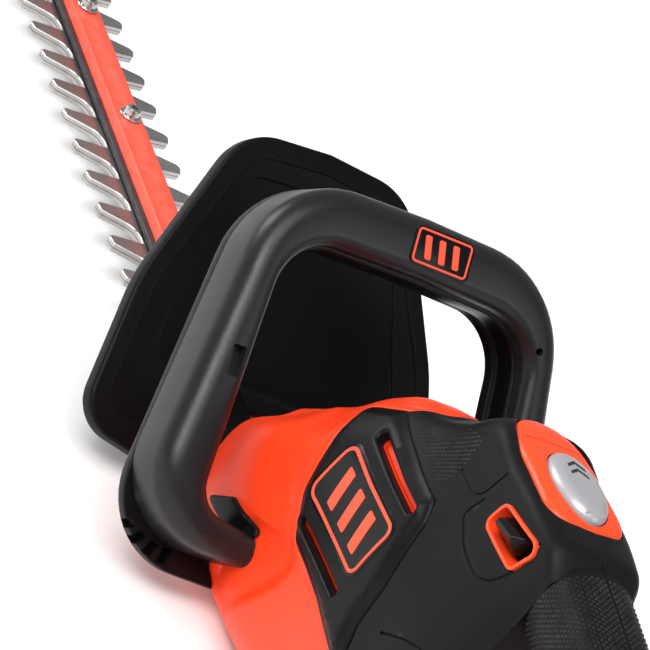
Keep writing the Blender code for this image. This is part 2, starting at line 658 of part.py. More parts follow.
def handle_sweep(name, grow, sides=12):
    """Rounded grip section carried along the handle's centreline."""
    path = [Vector((x, 0, z)) for x, z, _, _ in HANDLE_PATH]
    rings = []
    for k, (x, z, high, wide) in enumerate(HANDLE_PATH):
        along = (path[min(k + 1, len(path) - 1)] - path[max(k - 1, 0)]).normalized()
        up = Vector((-along.z, 0, along.x)) * -1
        middle = path[k] + (along * grow if k == len(path) - 1 else Vector()) * 0.5
        ring = []
        for s in range(sides):
            a = 2 * math.pi * (s + 0.5) / sides
            y = math.copysign(abs(math.cos(a)) ** 0.75, math.cos(a)) * (wide + grow)
            h = math.copysign(abs(math.sin(a)) ** 0.75, math.sin(a)) * (high + grow)
            ring.append(middle + Vector((0, y, 0)) + up * h)
        rings.append(ring)
    return ring_loft(name, rings, True)


def foot_block(name, grow):
    """Bar under the hand opening that carries the battery rails."""
    floor = FOOT_BOTTOM_Z + (RAIL_FLOOR if grow < 0 else 0.0)
    shape = rounded([(REAR_END_X - grow, floor, 4.5), (-340, floor, 4.5), (-340, FOOT_TOP_Z + grow, 4.5),
                     (REAR_END_X - grow, FOOT_TOP_Z + grow, 4.5)], 2)
    reach = 32.0 + grow
    return side_prism(name, shape, -reach, reach, edge=4.0)


def chin_block(name, grow):
    """Lower rear of the body, in front of the battery."""
    shape = box_outline(-398 - grow, -38 - grow, -330, 38 + grow, 3.0, 2)
    return prism(name, shape, BOTTOM_Z - grow, 60.0 + min(grow, 0))


def hull(name, grow, parts=("foot", "chin")):
    """Outer shape of the whole housing, moved outward by grow."""
    made = join(body_loft(name, grow), handle_sweep("grip", grow))
    if "foot" in parts:
        join(made, foot_block("foot", grow))
    if "chin" in parts:
        join(made, chin_block("chin", grow))
    return made


def half_space(side, low=0.15, reach=120.0):
    y0, y1 = sorted((side * low, side * reach))
    return block("half", (-560, y0, -20), (-100, y1, 230))


# ---------------------------------------------------------------- housing halves and what lies on them

VENT_XS = (-285, -262, -239)
VENT_ZS = (133.0, 88.0)
VENT_HALF = 1.7
# Housing screws: x, z and how far the wall stands from the middle plane
HOUSING_SCREWS = ((-178, 82, 46.0), (-340, 100, 30.0), (-501, 88, 17.0))
# Corners (x, z, radius) of the motor cover, then corners (x, z) of the soft grip behind and above it
COVER_OUTLINE = ((-222, 112, 12), (-211, 129, 5), (-230, 143, 5), (-286, 142, 6), (-293, 135, 8),
                 (-303, 109, 10), (-305, 91, 10), (-313, 71, 6), (-276, 77, 16), (-242, 79.5, 8),
                 (-229, 94, 12))
GRIP_OUTLINE = ((-230, 143.7), (-224, 150), (-224, 190), (-540, 190), (-540, 74), (-315, 71.5), (-306, 91),
                (-304, 109), (-294, 135), (-287, 142.7))
# Left half (x, y) of the bare crest that runs back between the two grips
CREST = ((-215, 27), (-229, 26), (-240, 11), (-250, 0))


def skin_patch(name, outline, side, inner, outer, parts=()):
    """Piece of the layer between two offsets of the hull that lies inside an (x, z) outline, on one side."""
    layer = cut(hull(name, outer, parts), hull("core", inner, parts))
    keep(layer, side_prism("outline", outline, side * 0.2, side * 120))
    return layer


def lock_window_outline(grow=0.0):
    shape = rounded([(-340, 153, 4), (-346, 172, 4), (-312, 166, 4), (-308, 152.5, 4)], 2)
    return offset(shape, grow) if grow else shape


def lock_window(side):
    return side_prism("window", lock_window_outline(), side * 10, side * 60)


def cap_outline(grow=0.0):
    half = [(-268, 0), (-270, 8), (-278, 15), (-292, 18), (-305, 18), (-318, 18.5), (-328, 18), (-334, 14),
            (-337, 0)]
    shape = half + [(x, -y) for x, y in reversed(half[1:-1])]
    return offset(shape, grow)


def button_outline(grow=0.0):
    count = 28
    shape = [(-313 + 20.5 * math.cos(2 * math.pi * k / count), 12.0 * math.sin(2 * math.pi * k / count))
             for k in range(count)]
    return offset(shape, grow) if grow else shape


def cut_openings(piece, side):
    """Openings that pass through both the housing and the soft grip over it."""
    cut(piece, lock_window(side))
    cut(piece, block("trigger_slot", (-417, -7, 118), (-368, 7, 146)))
    cut(piece, prism("cap_seat", cap_outline(0.4), 177.4, 200))
    cut(piece, prism("button_way", button_outline(0.6), 168.0, 200))


def add_screw_bosses(shell, side):
    """Posts across the cavity, drilled for the screws and counterbored on the right."""
    for x, z, depth in HOUSING_SCREWS:
        post = rod("post", 4.6, (x, side * 0.15, z), (x, side * (depth + 8), z), 12)
        join(shell, keep(post, hull("limit", -0.5)))
        cut(shell, rod("hole", 1.9, (x, 15.0, z), (x, -90.0, z), 8))
        if side < 0:
            cut(shell, rod("sink", 3.5, (x, 6.6 - depth, z), (x, -90.0, z), 10))


def make_housing(name, side):
    shell = cut(hull(name, 0.0), hull("inside", -WALL))
    keep(shell, half_space(side))
    add_screw_bosses(shell, side)
    cut(shell, prism("case_opening", gear_case_outline(26.4, -0.4), -5.0, CASE_SPLIT_Z))
    cut(shell, block("blade_exit", (-160, -14.6, 24.0), (-130, 14.6, 46.0)))
    cut(shell, block("rail_neck", (-540, -20.5, 40.0), (-402, 20.5, 48.0)))
    cut(shell, block("rail_head", (-540, -26.5, 46.6), (-402, 26.5, 51.5)))
    cut(shell, block("contacts", (-410, -16, 18.0), (-388, 16, 38.0)))
    cut_openings(shell, side)
    for x in VENT_XS:
        for z in VENT_ZS:
            vent = box_outline(x - 8, z - VENT_HALF, x + 8, z + VENT_HALF, 1.0, 1)
            cut(shell, side_prism("vent", vent, side * 25, side * 80))
    return finish(shell, name, "orange")


def make_cover(name, side):
    cover = skin_patch(name, rounded(list(COVER_OUTLINE), 3), side, SKIN_GAP, SKIN + 0.8)
    for z in VENT_ZS:
        slot = box_outline(-286, z - 1.9, -238, z + 1.9, 1.8, 2)
        cut(cover, side_prism("slot", slot, side * 20, side * 90))
    return finish(cover, name, "charcoal")


def make_badge(name, side):
    outline = box_outline(-289, 97, -233, 125, 5.0, 3)
    badge = skin_patch(name, outline, side, SKIN + 1.15, SKIN + 2.0)
    return finish(badge, name, "black")


def make_grip(name, side):
    grip = skin_patch(name, list(GRIP_OUTLINE), side, SKIN_GAP, SKIN)
    crest = list(CREST) + [(x, -y) for x, y in reversed(CREST[:-1])]
    cut(grip, prism("crest", crest, 142.0, 230.0))
    cut_openings(grip, side)
    if side < 0:
        for x, z, depth in HOUSING_SCREWS[1:]:
            cut(grip, rod("sink", 3.5, (x, -8.0, z), (x, -90.0, z), 10))
    return finish(grip, name, "soft_grip")


# ---------------------------------------------------------------- controls

CAP_TOP_Z = 182.4
BUTTON_X = -313.0
LOCK_X = -327.0
TRIGGER_PIVOT = (-372.0, 0.0, 148.0)
TRIGGER_HALF_WIDTH = 6.0


def make_cap():
    cap = prism("top_cap", cap_outline(), 177.9, CAP_TOP_Z, edge=1.6, steps=2, edges="high")
    cut(cap, prism("button_way", button_outline(0.5), 170.0, 200))
    return finish(cap, "top_cap", "orange")


def make_boost_button():
    """Oval push button with a domed top, its return spring and the switch under it."""
    button = prism("boost_button", button_outline(), 171.5, 186.8, edge=3.6, steps=3, edges="high")
    cut(button, turned("seat", [(4.2, 170.0), (4.2, 175.0)], (BUTTON_X, 0), 12))
    finish(button, "boost_button", "silver", (BUTTON_X, 0, 171.5))
    spring = coil("boost_spring", (BUTTON_X, 0), 3.2, 0.5, 160.0, 174.8)
    finish(spring, "boost_spring", "steel")
    switch = block("speed_switch", (-322, -8, 150.5), (-303, 8, 159.7))
    finish(switch, "speed_switch", "black")


def make_lock_off():
    """Slide that crosses the head, with a thumb paddle in a rimmed window on each side."""
    slide = block("lock_off_slide", (LOCK_X - 3, -17, 157.5), (LOCK_X + 3, 17, 164.0))
    for side in (1, -1):
        paddle = rounded([(LOCK_X - 5, 156.5, 2), (LOCK_X + 6, 156.0, 2), (LOCK_X + 5, 165.0, 2),
                          (LOCK_X - 6, 166.5, 2)], 2)
        join(slide, side_prism("paddle", paddle, side * 16.5, side * 25.5))
    finish(slide, "lock_off_slide", "black", (LOCK_X, 0, 164))
    for name, side in (("lock_off_bezel_left", 1), ("lock_off_bezel_right", -1)):
        rim = lock_window_outline(-0.3)
        bezel = side_prism("bezel", rim, side * 18.6, side * 26.6)
        cut(bezel, side_prism("hole", offset(rim, -1.6), side * 10, side * 40))
        keep(bezel, hull("skin", SKIN + 0.9, ()))
        cut(bezel, block("middle", (-360, -18.6, 140), (-300, 18.6, 190)))
        finish(bezel, name, "orange")


def make_trigger():
    shape = rounded([(-369, 152, 2), (-375, 153, 2), (-412, 147, 2), (-413, 136, 3), (-409, 121, 5),
                     (-401, 118.5, 5), (-391, 126, 12), (-378, 129, 5), (-369, 138, 3)], 3)
    trigger = side_prism("trigger", shape, -TRIGGER_HALF_WIDTH, TRIGGER_HALF_WIDTH)
    finish(trigger, "trigger", "black", TRIGGER_PIVOT)
    spring = coil("trigger_spring", (-406, 0), 3.0, 0.5, 148.8, 163.0)
    finish(spring, "trigger_spring", "steel")
    switch = block("trigger_switch", (-397, -7, 157.5), (-380, 7, 164.3))
    finish(switch, "trigger_switch", "black")


def make_electrics():
    board = block("control_board", (-345, -24, 62.0), (-290, 24, 63.6))
    for x, y, wide, high in ((-335, -12, 10, 8), (-335, 10, 10, 8), (-312, -6, 8, 14), (-300, 12, 12, 5)):
        join(board, block("component", (x - wide / 2, y - wide / 2, 63.0), (x + wide / 2, y + wide / 2,
                                                                                    63.6 + high)))
    finish(board, "control_board", "board")
    terminals = block("terminal_block", (-394, -15, 19.0), (-384, 15, 37.0))
    for y in (-9, 0, 9):
        join(terminals, block("blade", (-407, y - 0.6, 22.0), (-393, y + 0.6, 34.0)))
    finish(terminals, "terminal_block", "black")


# ---------------------------------------------------------------- battery

def make_battery():
    shape = rounded([(-BATTERY_HALF_WIDTH, REST_Z, 5), (BATTERY_HALF_WIDTH, REST_Z, 5),
                     (BATTERY_HALF_WIDTH, BATTERY_TOP_Z, 7), (-BATTERY_HALF_WIDTH, BATTERY_TOP_Z, 7)], 3)
    pack = prism("battery_case", shape, REAR_END_X, BATTERY_FRONT_X, ACROSS, edge=2.5, steps=1)
    neck = block("neck", (-494, -20, BATTERY_TOP_Z - 1), (BATTERY_FRONT_X - 3, 20, 48.0))
    head = block("head", (-494, -26, 47.0), (BATTERY_FRONT_X - 3, 26, 51.0))
    join(pack, neck, head)
    cut(pack, block("room", (-499.2, -35.2, 14.8), (-407.3, 35.2, 35.0)))
    for y in (-9, 0, 9):
        cut(pack, block("contact", (-412, y - 1.2, 20.0), (-400, y + 1.2, 36.0)))
    cut(pack, block("latch_well", (-513, -13.5, 32.0), (-497, 13.5, 60.0)))
    cut(pack, block("grip_groove", (-520, -13.5, 36.0), (-512, 13.5, 60.0)))
    finish(pack, "battery_case", "charcoal", ((REAR_END_X + BATTERY_FRONT_X) / 2, 0, BATTERY_TOP_Z))
    latch = block("battery_latch", (-511.5, -12.5, 40.0), (-498.5, 12.5, 50.5))
    join(latch, block("tab", (-514.5, -12.5, 40.0), (-509, 12.5, 43.6)))
    finish(latch, "battery_latch", "orange", (-505, 0, 40))
    spring = coil("latch_spring", (-505, 0), 3.0, 0.5, 32.4, 39.7, turns=3)
    finish(spring, "latch_spring", "steel", (-505, 0, 32))
    make_cells()


def make_cells():
    """Round cells lying across the pack in a row, tied by a holder plate at the middle."""
    middle_x = -453.5
    middle_z = 24.6
    half = CELL_PITCH * (CELL_COUNT - 1) / 2
    pack = block("battery_cells", (middle_x - half, -2.0, middle_z - 7), (middle_x + half, 2.0, middle_z + 7))
    for k in range(CELL_COUNT):
        x = middle_x - half + CELL_PITCH * k
        join(pack, rod("cell", CELL_RADIUS, (x, -CELL_HALF_LENGTH, middle_z),
                       (x, CELL_HALF_LENGTH, middle_z), 12))
    finish(pack, "battery_cells", "cells")


def make_housing_screws():
    """Screws that go in from the right and draw the housing halves together."""
    for k, (x, z, depth) in enumerate(HOUSING_SCREWS):
        screw = rod("screw", 1.6, (x, 13.0, z), (x, 6.0 - depth, z), 8)
        join(screw, rod("head", 3.1, (x, 6.3 - depth, z), (x, 4.3 - depth, z), 10))
        finish(screw, f"housing_screw_{k + 1}", "steel")


# ---------------------------------------------------------------- assembly

PARENTS = {
    "pinion": "motor_rotor", "cooling_fan": "motor_rotor", "battery_latch": "battery_case",
    "latch_spring": "battery_case", "battery_cells": "battery_case",
}


def assemble():
    """Parents every piece to the trimmer's empty, and carried pieces to the piece that carries them."""
    root = bpy.data.objects.new("hedge_trimmer", None)
    bpy.context.collection.objects.link(root)
    bpy.context.view_layer.update()
    for obj in list(bpy.data.objects):
        if obj is root:
            continue
        parent = bpy.data.objects[PARENTS[obj.name]] if obj.name in PARENTS else root
        place = obj.matrix_world.copy()
        obj.parent = parent
        obj.matrix_parent_inverse = parent.matrix_world.inverted()
        obj.matrix_world = place
    root.location.z = -REST_Z * MM


def main():
    clear_scene()
    make_blade("blade_lower", BLADE_MID_Z - BLADE_THICKNESS - 0.15)
    make_blade("blade_upper", BLADE_MID_Z + 0.15)
    make_blade_bar()
    make_gear_train()
    make_gear_case()
    make_motor()
    make_guard()
    make_bail()
    for word, side in (("left", 1), ("right", -1)):
        make_housing(f"housing_{word}", side)
        make_cover(f"motor_cover_{word}", side)
        make_badge(f"badge_{word}", side)
        make_grip(f"handle_grip_{word}", side)
    make_cap()
    make_boost_button()
    make_lock_off()
    make_trigger()
    make_electrics()
    make_battery()
    make_housing_screws()
    assemble()


main()
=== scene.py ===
"""Looks of a cordless hedge trimmer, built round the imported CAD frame.

Lengths are millimetres in the design's own frame and become metres in mesh_piece. +X runs along the blade to
its tip, +Y to the user's left, +Z up. Design heights start REST_Z below the plane that the tool rests on.
"""
import json
import math

import bmesh
import bpy
import numpy as np
from mathutils import Matrix, Vector
from mathutils.bvhtree import BVHTree
from mathutils.geometry import delaunay_2d_cdt


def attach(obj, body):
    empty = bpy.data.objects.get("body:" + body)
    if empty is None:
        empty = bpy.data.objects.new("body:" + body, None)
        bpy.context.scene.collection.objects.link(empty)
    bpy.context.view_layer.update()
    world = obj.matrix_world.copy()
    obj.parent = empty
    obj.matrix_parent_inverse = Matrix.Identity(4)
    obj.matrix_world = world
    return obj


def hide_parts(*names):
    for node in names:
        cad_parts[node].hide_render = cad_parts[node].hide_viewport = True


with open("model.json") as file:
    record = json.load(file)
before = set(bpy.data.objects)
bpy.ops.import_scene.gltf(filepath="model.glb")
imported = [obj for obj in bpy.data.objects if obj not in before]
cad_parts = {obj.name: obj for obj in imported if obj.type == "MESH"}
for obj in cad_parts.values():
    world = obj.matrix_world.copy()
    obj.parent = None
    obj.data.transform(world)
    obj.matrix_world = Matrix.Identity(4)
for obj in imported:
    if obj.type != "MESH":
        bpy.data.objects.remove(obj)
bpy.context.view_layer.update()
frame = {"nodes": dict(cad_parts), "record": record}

MM = 0.001
REST_Z = 12.0
GAP = 0.3
SIDES = (("left", 1), ("right", -1))


# ---------------------------------------------------------------- mesh helpers

def mesh_piece(name, points, faces):
    mesh = bpy.data.meshes.new(name)
    mesh.from_pydata([(x * MM, y * MM, (z - REST_Z) * MM) for x, y, z in points], [], faces)
    work = bmesh.new()
    work.from_mesh(mesh)
    bmesh.ops.recalc_face_normals(work, faces=work.faces)
    work.to_mesh(mesh)
    work.free()
    obj = bpy.data.objects.new(name, mesh)
    bpy.context.scene.collection.objects.link(obj)
    return obj


def boolean(target, other, operation):
    """Applies an exact Boolean of target with other, and removes other."""
    step = target.modifiers.new(operation, "BOOLEAN")
    step.operation = operation
    step.solver = "EXACT"
    step.object = other
    graph = bpy.context.evaluated_depsgraph_get()
    mesh = bpy.data.meshes.new_from_object(target.evaluated_get(graph))
    target.modifiers.clear()
    old = target.data
    target.data = mesh
    bpy.data.meshes.remove(old)
    bpy.data.objects.remove(other, do_unlink=True)
    return target


def gather(name, objects):
    """Puts separate objects into one, without a Boolean."""
    work = bmesh.new()
    for obj in objects:
        work.from_mesh(obj.data)
        bpy.data.objects.remove(obj, do_unlink=True)
    mesh = bpy.data.meshes.new(name)
    work.to_mesh(mesh)
    work.free()
    whole = bpy.data.objects.new(name, mesh)
    bpy.context.scene.collection.objects.link(whole)
    return whole


def cut(target, *others):
    for other in others:
        boolean(target, other, "DIFFERENCE")
    return target


def join(target, *others):
    for other in others:
        boolean(target, other, "UNION")
    return target


def keep(target, other):
    return boolean(target, other, "INTERSECT")


def copy_of(obj, name):
    twin = bpy.data.objects.new(name, obj.data.copy())
    bpy.context.scene.collection.objects.link(twin)
    return twin


def mirrored(obj, name):
    """Copy of an object reflected to the other side of the trimmer."""
    twin = copy_of(obj, name)
    work = bmesh.new()
    work.from_mesh(twin.data)
    bmesh.ops.scale(work, vec=(1, -1, 1), verts=work.verts)
    bmesh.ops.reverse_faces(work, faces=work.faces)
    work.to_mesh(twin.data)
    work.free()
    return twin


def place(obj, name, finish, body="body", replaces=(), angle=32.0):
    """Names, shades and colours a finished piece, and makes it ride on its body."""
    obj.name = name
    obj.data.name = name
    obj.data.shade_smooth()
    obj.data.set_sharp_from_angle(angle=math.radians(angle))
    obj.data.materials.clear()
    obj.data.materials.append(finish)
    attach(obj, body)
    if replaces:
        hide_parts(*replaces)
    return obj


# ---------------------------------------------------------------- planes, outlines and lofts

class Plane:
    """Axes u (across), v (along the plane), w (through it) at an origin."""

    def __init__(self, origin, u, v):
        self.origin = Vector(origin)
        self.u = Vector(u)
        self.v = Vector(v)
        self.w = self.u.cross(self.v)

    def at(self, u, v, w):
        return self.origin + self.u * u + self.v * v + self.w * w


GUARD_LEAN = math.radians(41.0)
BAIL_LEAN = math.radians(37.0)
FLAT = Plane((0, 0, 0), (1, 0, 0), (0, 1, 0))
LEFTWARD = Plane((0, 0, 0), (1, 0, 0), (0, 0, -1))
ACROSS = Plane((0, 0, 0), (0, 1, 0), (0, 0, 1))
GUARD = Plane((-128.0, 0.0, 30.0), (0, 1, 0), (math.sin(GUARD_LEAN), 0, math.cos(GUARD_LEAN)))
BAIL = Plane((-242.0, 0.0, 30.0), (0, 1, 0), (math.sin(BAIL_LEAN), 0, math.cos(BAIL_LEAN)))


def arc_points(before, here, after, radius, steps):
    """Arc of a radius that replaces the corner at here."""
    here = Vector(here)
    towards_before = (Vector(before) - here).normalized()
    towards_after = (Vector(after) - here).normalized()
    half = towards_before.angle(towards_after) / 2
    reach = radius / math.tan(half)
    centre = here + (towards_before + towards_after).normalized() * (radius / math.sin(half))
    start = here + towards_before * reach - centre
    turn = (here + towards_after * reach - centre).angle_signed(start)
    spun = [centre + Matrix.Rotation(turn * k / steps, 2) @ start for k in range(steps + 1)]
    return [(p.x, p.y) for p in spun]


def rounded(corners, steps=8):
    """Closed outline through corners (u, v, radius)."""
    points = []
    count = len(corners)
    for i, (u, v, radius) in enumerate(corners):
        if radius <= 0:
            points.append((u, v))
            continue
        points += arc_points(corners[i - 1][:2], (u, v), corners[(i + 1) % count][:2], radius, steps)
    return points


def open_path(corners, steps, between):
    """Open line through corners (u, v, radius), with its straight runs divided into equal parts."""
    points = [tuple(corners[0][:2])]
    for i in range(1, len(corners)):
        last = i == len(corners) - 1
        u, v, radius = corners[i]
        added = [(u, v)]
        if not last:
            added = arc_points(corners[i - 1][:2], (u, v), corners[i + 1][:2], radius, steps)
        start = points[-1]
        for k in range(1, between):
            share = k / between
            points.append((start[0] + (added[0][0] - start[0]) * share,
                           start[1] + (added[0][1] - start[1]) * share))
        points += added
    return points


def symmetric(corners, steps=8):
    other = [(-u, v, radius) for u, v, radius in reversed(corners) if u > 0]
    return rounded(corners + other, steps)


def box_outline(u0, v0, u1, v1, radius=0.0, steps=5):
    return rounded([(u0, v0, radius), (u1, v0, radius), (u1, v1, radius), (u0, v1, radius)], steps)


def circle(u, v, radius, count=32, start=0.0):
    turns = [start + 2 * math.pi * k / count for k in range(count)]
    return [(u + radius * math.cos(a), v + radius * math.sin(a)) for a in turns]


def offset(outline, distance):
    """Moves a closed outline outward by distance (inward when negative)."""
    pts = np.array(outline)
    turning = np.sum(pts[:, 0] * np.roll(pts[:, 1], -1) - np.roll(pts[:, 0], -1) * pts[:, 1])
    ahead = np.roll(pts, -1, axis=0) - pts
    ahead /= np.maximum(np.linalg.norm(ahead, axis=1), 1e-9)[:, None]
    normal = np.stack([ahead[:, 1], -ahead[:, 0]], axis=1) * np.sign(turning)
    both = normal + np.roll(normal, 1, axis=0)
    both /= np.maximum(np.linalg.norm(both, axis=1), 1e-9)[:, None]
    stretch = np.clip(np.sum(both * normal, axis=1), 0.35, 1.0)
    return [tuple(p) for p in pts + both * (distance / stretch)[:, None]]


def loft(name, rings):
    """Skins closed rings of equal length and caps both ends."""
    count = len(rings[0])
    points = [p for ring in rings for p in ring]
    faces = []
    for r in range(len(rings) - 1):
        for k in range(count):
            a = r * count + k
            b = r * count + (k + 1) % count
            faces.append((a, b, b + count, a + count))
    last = (len(rings) - 1) * count
    faces.append(tuple(range(count - 1, -1, -1)))
    faces.append(tuple(range(last, last + count)))
    return mesh_piece(name, points, faces)


def rim_levels(low, high, edge, steps, edges):
    """Pairs (w, inset) that round the rim of an extrusion with radius edge."""
    turns = [math.pi / 2 * k / steps for k in range(steps)]
    lower = [(low + edge * (1 - math.cos(a)), -edge * (1 - math.sin(a))) for a in turns]
    upper = [(high - w + low, inset) for w, inset in reversed(lower)]
    levels = lower + [(low + edge, 0.0)] if edges in ("both", "low") else [(low, 0.0)]
    levels += [(high - edge, 0.0)] + upper if edges in ("both", "high") else [(high, 0.0)]
    return levels


def prism(name, outline, low, high, plane=FLAT, edge=0.0, steps=4, edges="both"):
    """Extrudes an outline along the plane's w, with rounded rims of radius edge."""
    levels = rim_levels(low, high, edge, steps, edges) if edge > 0 else [(low, 0.0), (high, 0.0)]
    return loft(name, [[plane.at(u, v, w) for u, v in (offset(outline, grow) if grow else outline)]
                       for w, grow in levels])


def side_prism(name, outline, y0, y1, edge=0.0, steps=4):
    """Extrudes an (x, z) outline across the body from y0 to y1."""
    low, high = sorted((y0, y1))
    return prism(name, [(x, -z) for x, z in outline], low, high, LEFTWARD, edge, steps)


def block(name, low, high, radius=0.0, edge=0.0):
    outline = box_outline(low[0], low[1], high[0], high[1], radius)
    return prism(name, outline, low[2], high[2], edge=edge)


def rod(name, radius, start, end, count=24, edge=0.0):
    start = Vector(start)
    along = (Vector(end) - start).normalized()
    across = Vector((0, 0, 1)) if abs(along.z) < 0.9 else Vector((1, 0, 0))
    u = along.cross(across).normalized()
    return prism(name, circle(0, 0, radius, count), 0.0, (Vector(end) - start).length,
                 Plane(start, u, along.cross(u)), edge, 3)


def turned(name, profile, centre, count=32):
    """Turns a profile of (radius, z) about a vertical axis."""
    return loft(name, [[(centre[0] + u, centre[1] + v, z) for u, v in circle(0, 0, radius, count)]
                       for radius, z in profile])


def smooth_rows(rows, knots, per):
    """Cubic Hermite curve through rows at rising knots, with per steps in each interval."""
    rows = np.array(rows, float)
    knots = np.array(knots, float)
    slopes = np.gradient(rows, knots, axis=0)
    out = []
    for k in range(len(rows) - 1):
        span = knots[k + 1] - knots[k]
        for j in range(per):
            t = j / per
            h00 = 2 * t ** 3 - 3 * t ** 2 + 1
            h10 = t ** 3 - 2 * t ** 2 + t
            out.append(h00 * rows[k] + h10 * span * slopes[k]
                       + (1 - h00) * rows[k + 1] + (t ** 3 - t ** 2) * span * slopes[k + 1])
    out.append(rows[-1])
    return np.array(out)


def step(low, high, value):
    """Soft step from 0 at low to 1 at high."""
    share = np.clip((value - low) / (high - low), 0.0, 1.0)
    return share * share * (3 - 2 * share)


def signed_distance(points, outline):
    """Distance of (n, 2) points from a closed outline, negative inside it."""
    corners = np.array(outline)
    ends = np.roll(corners, -1, axis=0)
    best = np.full(len(points), 1e9)
    inside = np.zeros(len(points), bool)
    for a, b in zip(corners, ends):
        run = b - a
        share = np.clip(((points - a) @ run) / max(run @ run, 1e-12), 0, 1)
        best = np.minimum(best, np.linalg.norm(points - a - share[:, None] * run, axis=1))
        crosses = (a[1] > points[:, 1]) != (b[1] > points[:, 1])
        if b[1] != a[1]:
            inside ^= crosses & (points[:, 0] < (b[0] - a[0]) * (points[:, 1] - a[1]) / (b[1] - a[1]) + a[0])
    return np.where(inside, -best, best)


# ---------------------------------------------------------------- materials

def noise(tree, coords, scale, detail=3.0, rough=0.5):
    node = tree.nodes.new("ShaderNodeTexNoise")
    node.inputs["Scale"].default_value = scale
    node.inputs["Detail"].default_value = detail
    node.inputs["Roughness"].default_value = rough
    tree.links.new(coords, node.inputs["Vector"])
    return node


def spread(tree, source, low, high, to_low, to_high):
    node = tree.nodes.new("ShaderNodeMapRange")
    for name, value in (("From Min", low), ("From Max", high), ("To Min", to_low), ("To Max", to_high)):
        node.inputs[name].default_value = value
    tree.links.new(source, node.inputs["Value"])
    return node.outputs["Result"]


def mixed(tree, factor, first, second):
    node = tree.nodes.new("ShaderNodeMix")
    node.data_type = "RGBA"
    tree.links.new(factor, node.inputs["Factor"])
    for colour, socket in ((first, "A"), (second, "B")):
        if isinstance(colour, bpy.types.NodeSocket):
            tree.links.new(colour, [s for s in node.inputs if s.name == socket and s.type == "RGBA"][0])
        else:
            slot = [s for s in node.inputs if s.name == socket and s.type == "RGBA"][0]
            slot.default_value = (*colour, 1.0)
    return [s for s in node.outputs if s.type == "RGBA"][0]


def finish_of(name, colour, roughness, metallic=0.0, mottle=0.10, grain=0.12, grain_scale=1500.0, edge_wear_and_highlight=0.25,
              wear_and_highlight_colour=None, brushed=None, coat=0.0, rough_spread=0.08, gloss=0.4):
    """Material with uneven colour and gloss, moulded or brushed grain, and convex edges painted lighter in
    patches: partly rubbed wear, partly painted highlight.
    """
    made = bpy.data.materials.new(name)
    made.use_nodes = True
    tree = made.node_tree
    shader = tree.nodes["Principled BSDF"]
    shader.inputs["Metallic"].default_value = metallic
    shader.inputs["Specular IOR Level"].default_value = gloss
    shader.inputs["Coat Weight"].default_value = coat
    shader.inputs["Coat Roughness"].default_value = 0.25
    coords = tree.nodes.new("ShaderNodeTexCoord").outputs["Object"]
    cloudy = noise(tree, coords, 22.0, 5.0, 0.6)
    dark = tuple(c * (1 - mottle) for c in colour)
    light = tuple(min(1.0, c * (1 + mottle)) for c in colour)
    base = mixed(tree, spread(tree, cloudy.outputs["Fac"], 0.3, 0.7, 0.0, 1.0), dark, light)
    wear_and_highlight_colour = wear_and_highlight_colour or tuple(min(1.0, c * 1.5 + 0.03) for c in colour)
    # Convex edges, found by pointiness and broken up by noise, are mixed towards a lighter colour: partly
    # rubbed wear, partly a painted edge highlight.
    edges = tree.nodes.new("ShaderNodeNewGeometry").outputs["Pointiness"]
    patchy = noise(tree, coords, 140.0, 4.0, 0.7)
    wear_and_highlight_mask = tree.nodes.new("ShaderNodeMath")
    wear_and_highlight_mask.operation = "MULTIPLY"
    tree.links.new(spread(tree, edges, 0.53, 0.62, 0.0, edge_wear_and_highlight), wear_and_highlight_mask.inputs[0])
    tree.links.new(spread(tree, patchy.outputs["Fac"], 0.35, 0.6, 0.0, 1.0), wear_and_highlight_mask.inputs[1])
    tree.links.new(mixed(tree, wear_and_highlight_mask.outputs[0], base, wear_and_highlight_colour), shader.inputs["Base Color"])
    if brushed:
        turn = tree.nodes.new("ShaderNodeMapping")
        turn.inputs["Scale"].default_value = brushed
        tree.links.new(coords, turn.inputs["Vector"])
        lines = noise(tree, turn.outputs["Vector"], 1.0, 6.0, 0.7)
    else:
        lines = noise(tree, coords, grain_scale, 2.0, 0.5)
    tree.links.new(spread(tree, patchy.outputs["Fac"], 0.3, 0.7, roughness - rough_spread / 2,
                          roughness + rough_spread / 2), shader.inputs["Roughness"])
    bump = tree.nodes.new("ShaderNodeBump")
    bump.inputs["Strength"].default_value = grain
    bump.inputs["Distance"].default_value = 0.0002
    tree.links.new(lines.outputs["Fac"], bump.inputs["Height"])
    tree.links.new(bump.outputs["Normal"], shader.inputs["Normal"])
    return made


ORANGE = finish_of("satin_orange_plastic", (1.0, 0.052, 0.008), 0.40, mottle=0.03, grain=0.10, edge_wear_and_highlight=0.15,
                   wear_and_highlight_colour=(1.0, 0.16, 0.07))
CAP_ORANGE = finish_of("satin_orange_cap", (1.0, 0.065, 0.012), 0.36, mottle=0.03, grain=0.08, edge_wear_and_highlight=0.15,
                       wear_and_highlight_colour=(1.0, 0.16, 0.07))
CHARCOAL = finish_of("charcoal_plastic", (0.011, 0.011, 0.0125), 0.31, gloss=0.30, grain=0.30,
                     grain_scale=2200.0, edge_wear_and_highlight=0.35, wear_and_highlight_colour=(0.11, 0.11, 0.115))
COVER_BLACK = finish_of("cover_plastic", (0.0045, 0.0045, 0.005), 0.36, gloss=0.13, grain=0.22,
                        grain_scale=2400.0, edge_wear_and_highlight=0.35, wear_and_highlight_colour=(0.08, 0.08, 0.085))
GUARD_BLACK = finish_of("guard_plastic", (0.003, 0.003, 0.0034), 0.42, gloss=0.10, grain=0.35,
                        grain_scale=1800.0, edge_wear_and_highlight=0.3, wear_and_highlight_colour=(0.05, 0.05, 0.052))
GLOSS_BLACK = finish_of("gloss_black_plastic", (0.003, 0.003, 0.0035), 0.24, gloss=0.20, grain=0.05, edge_wear_and_highlight=0.2,
                        wear_and_highlight_colour=(0.05, 0.05, 0.05))
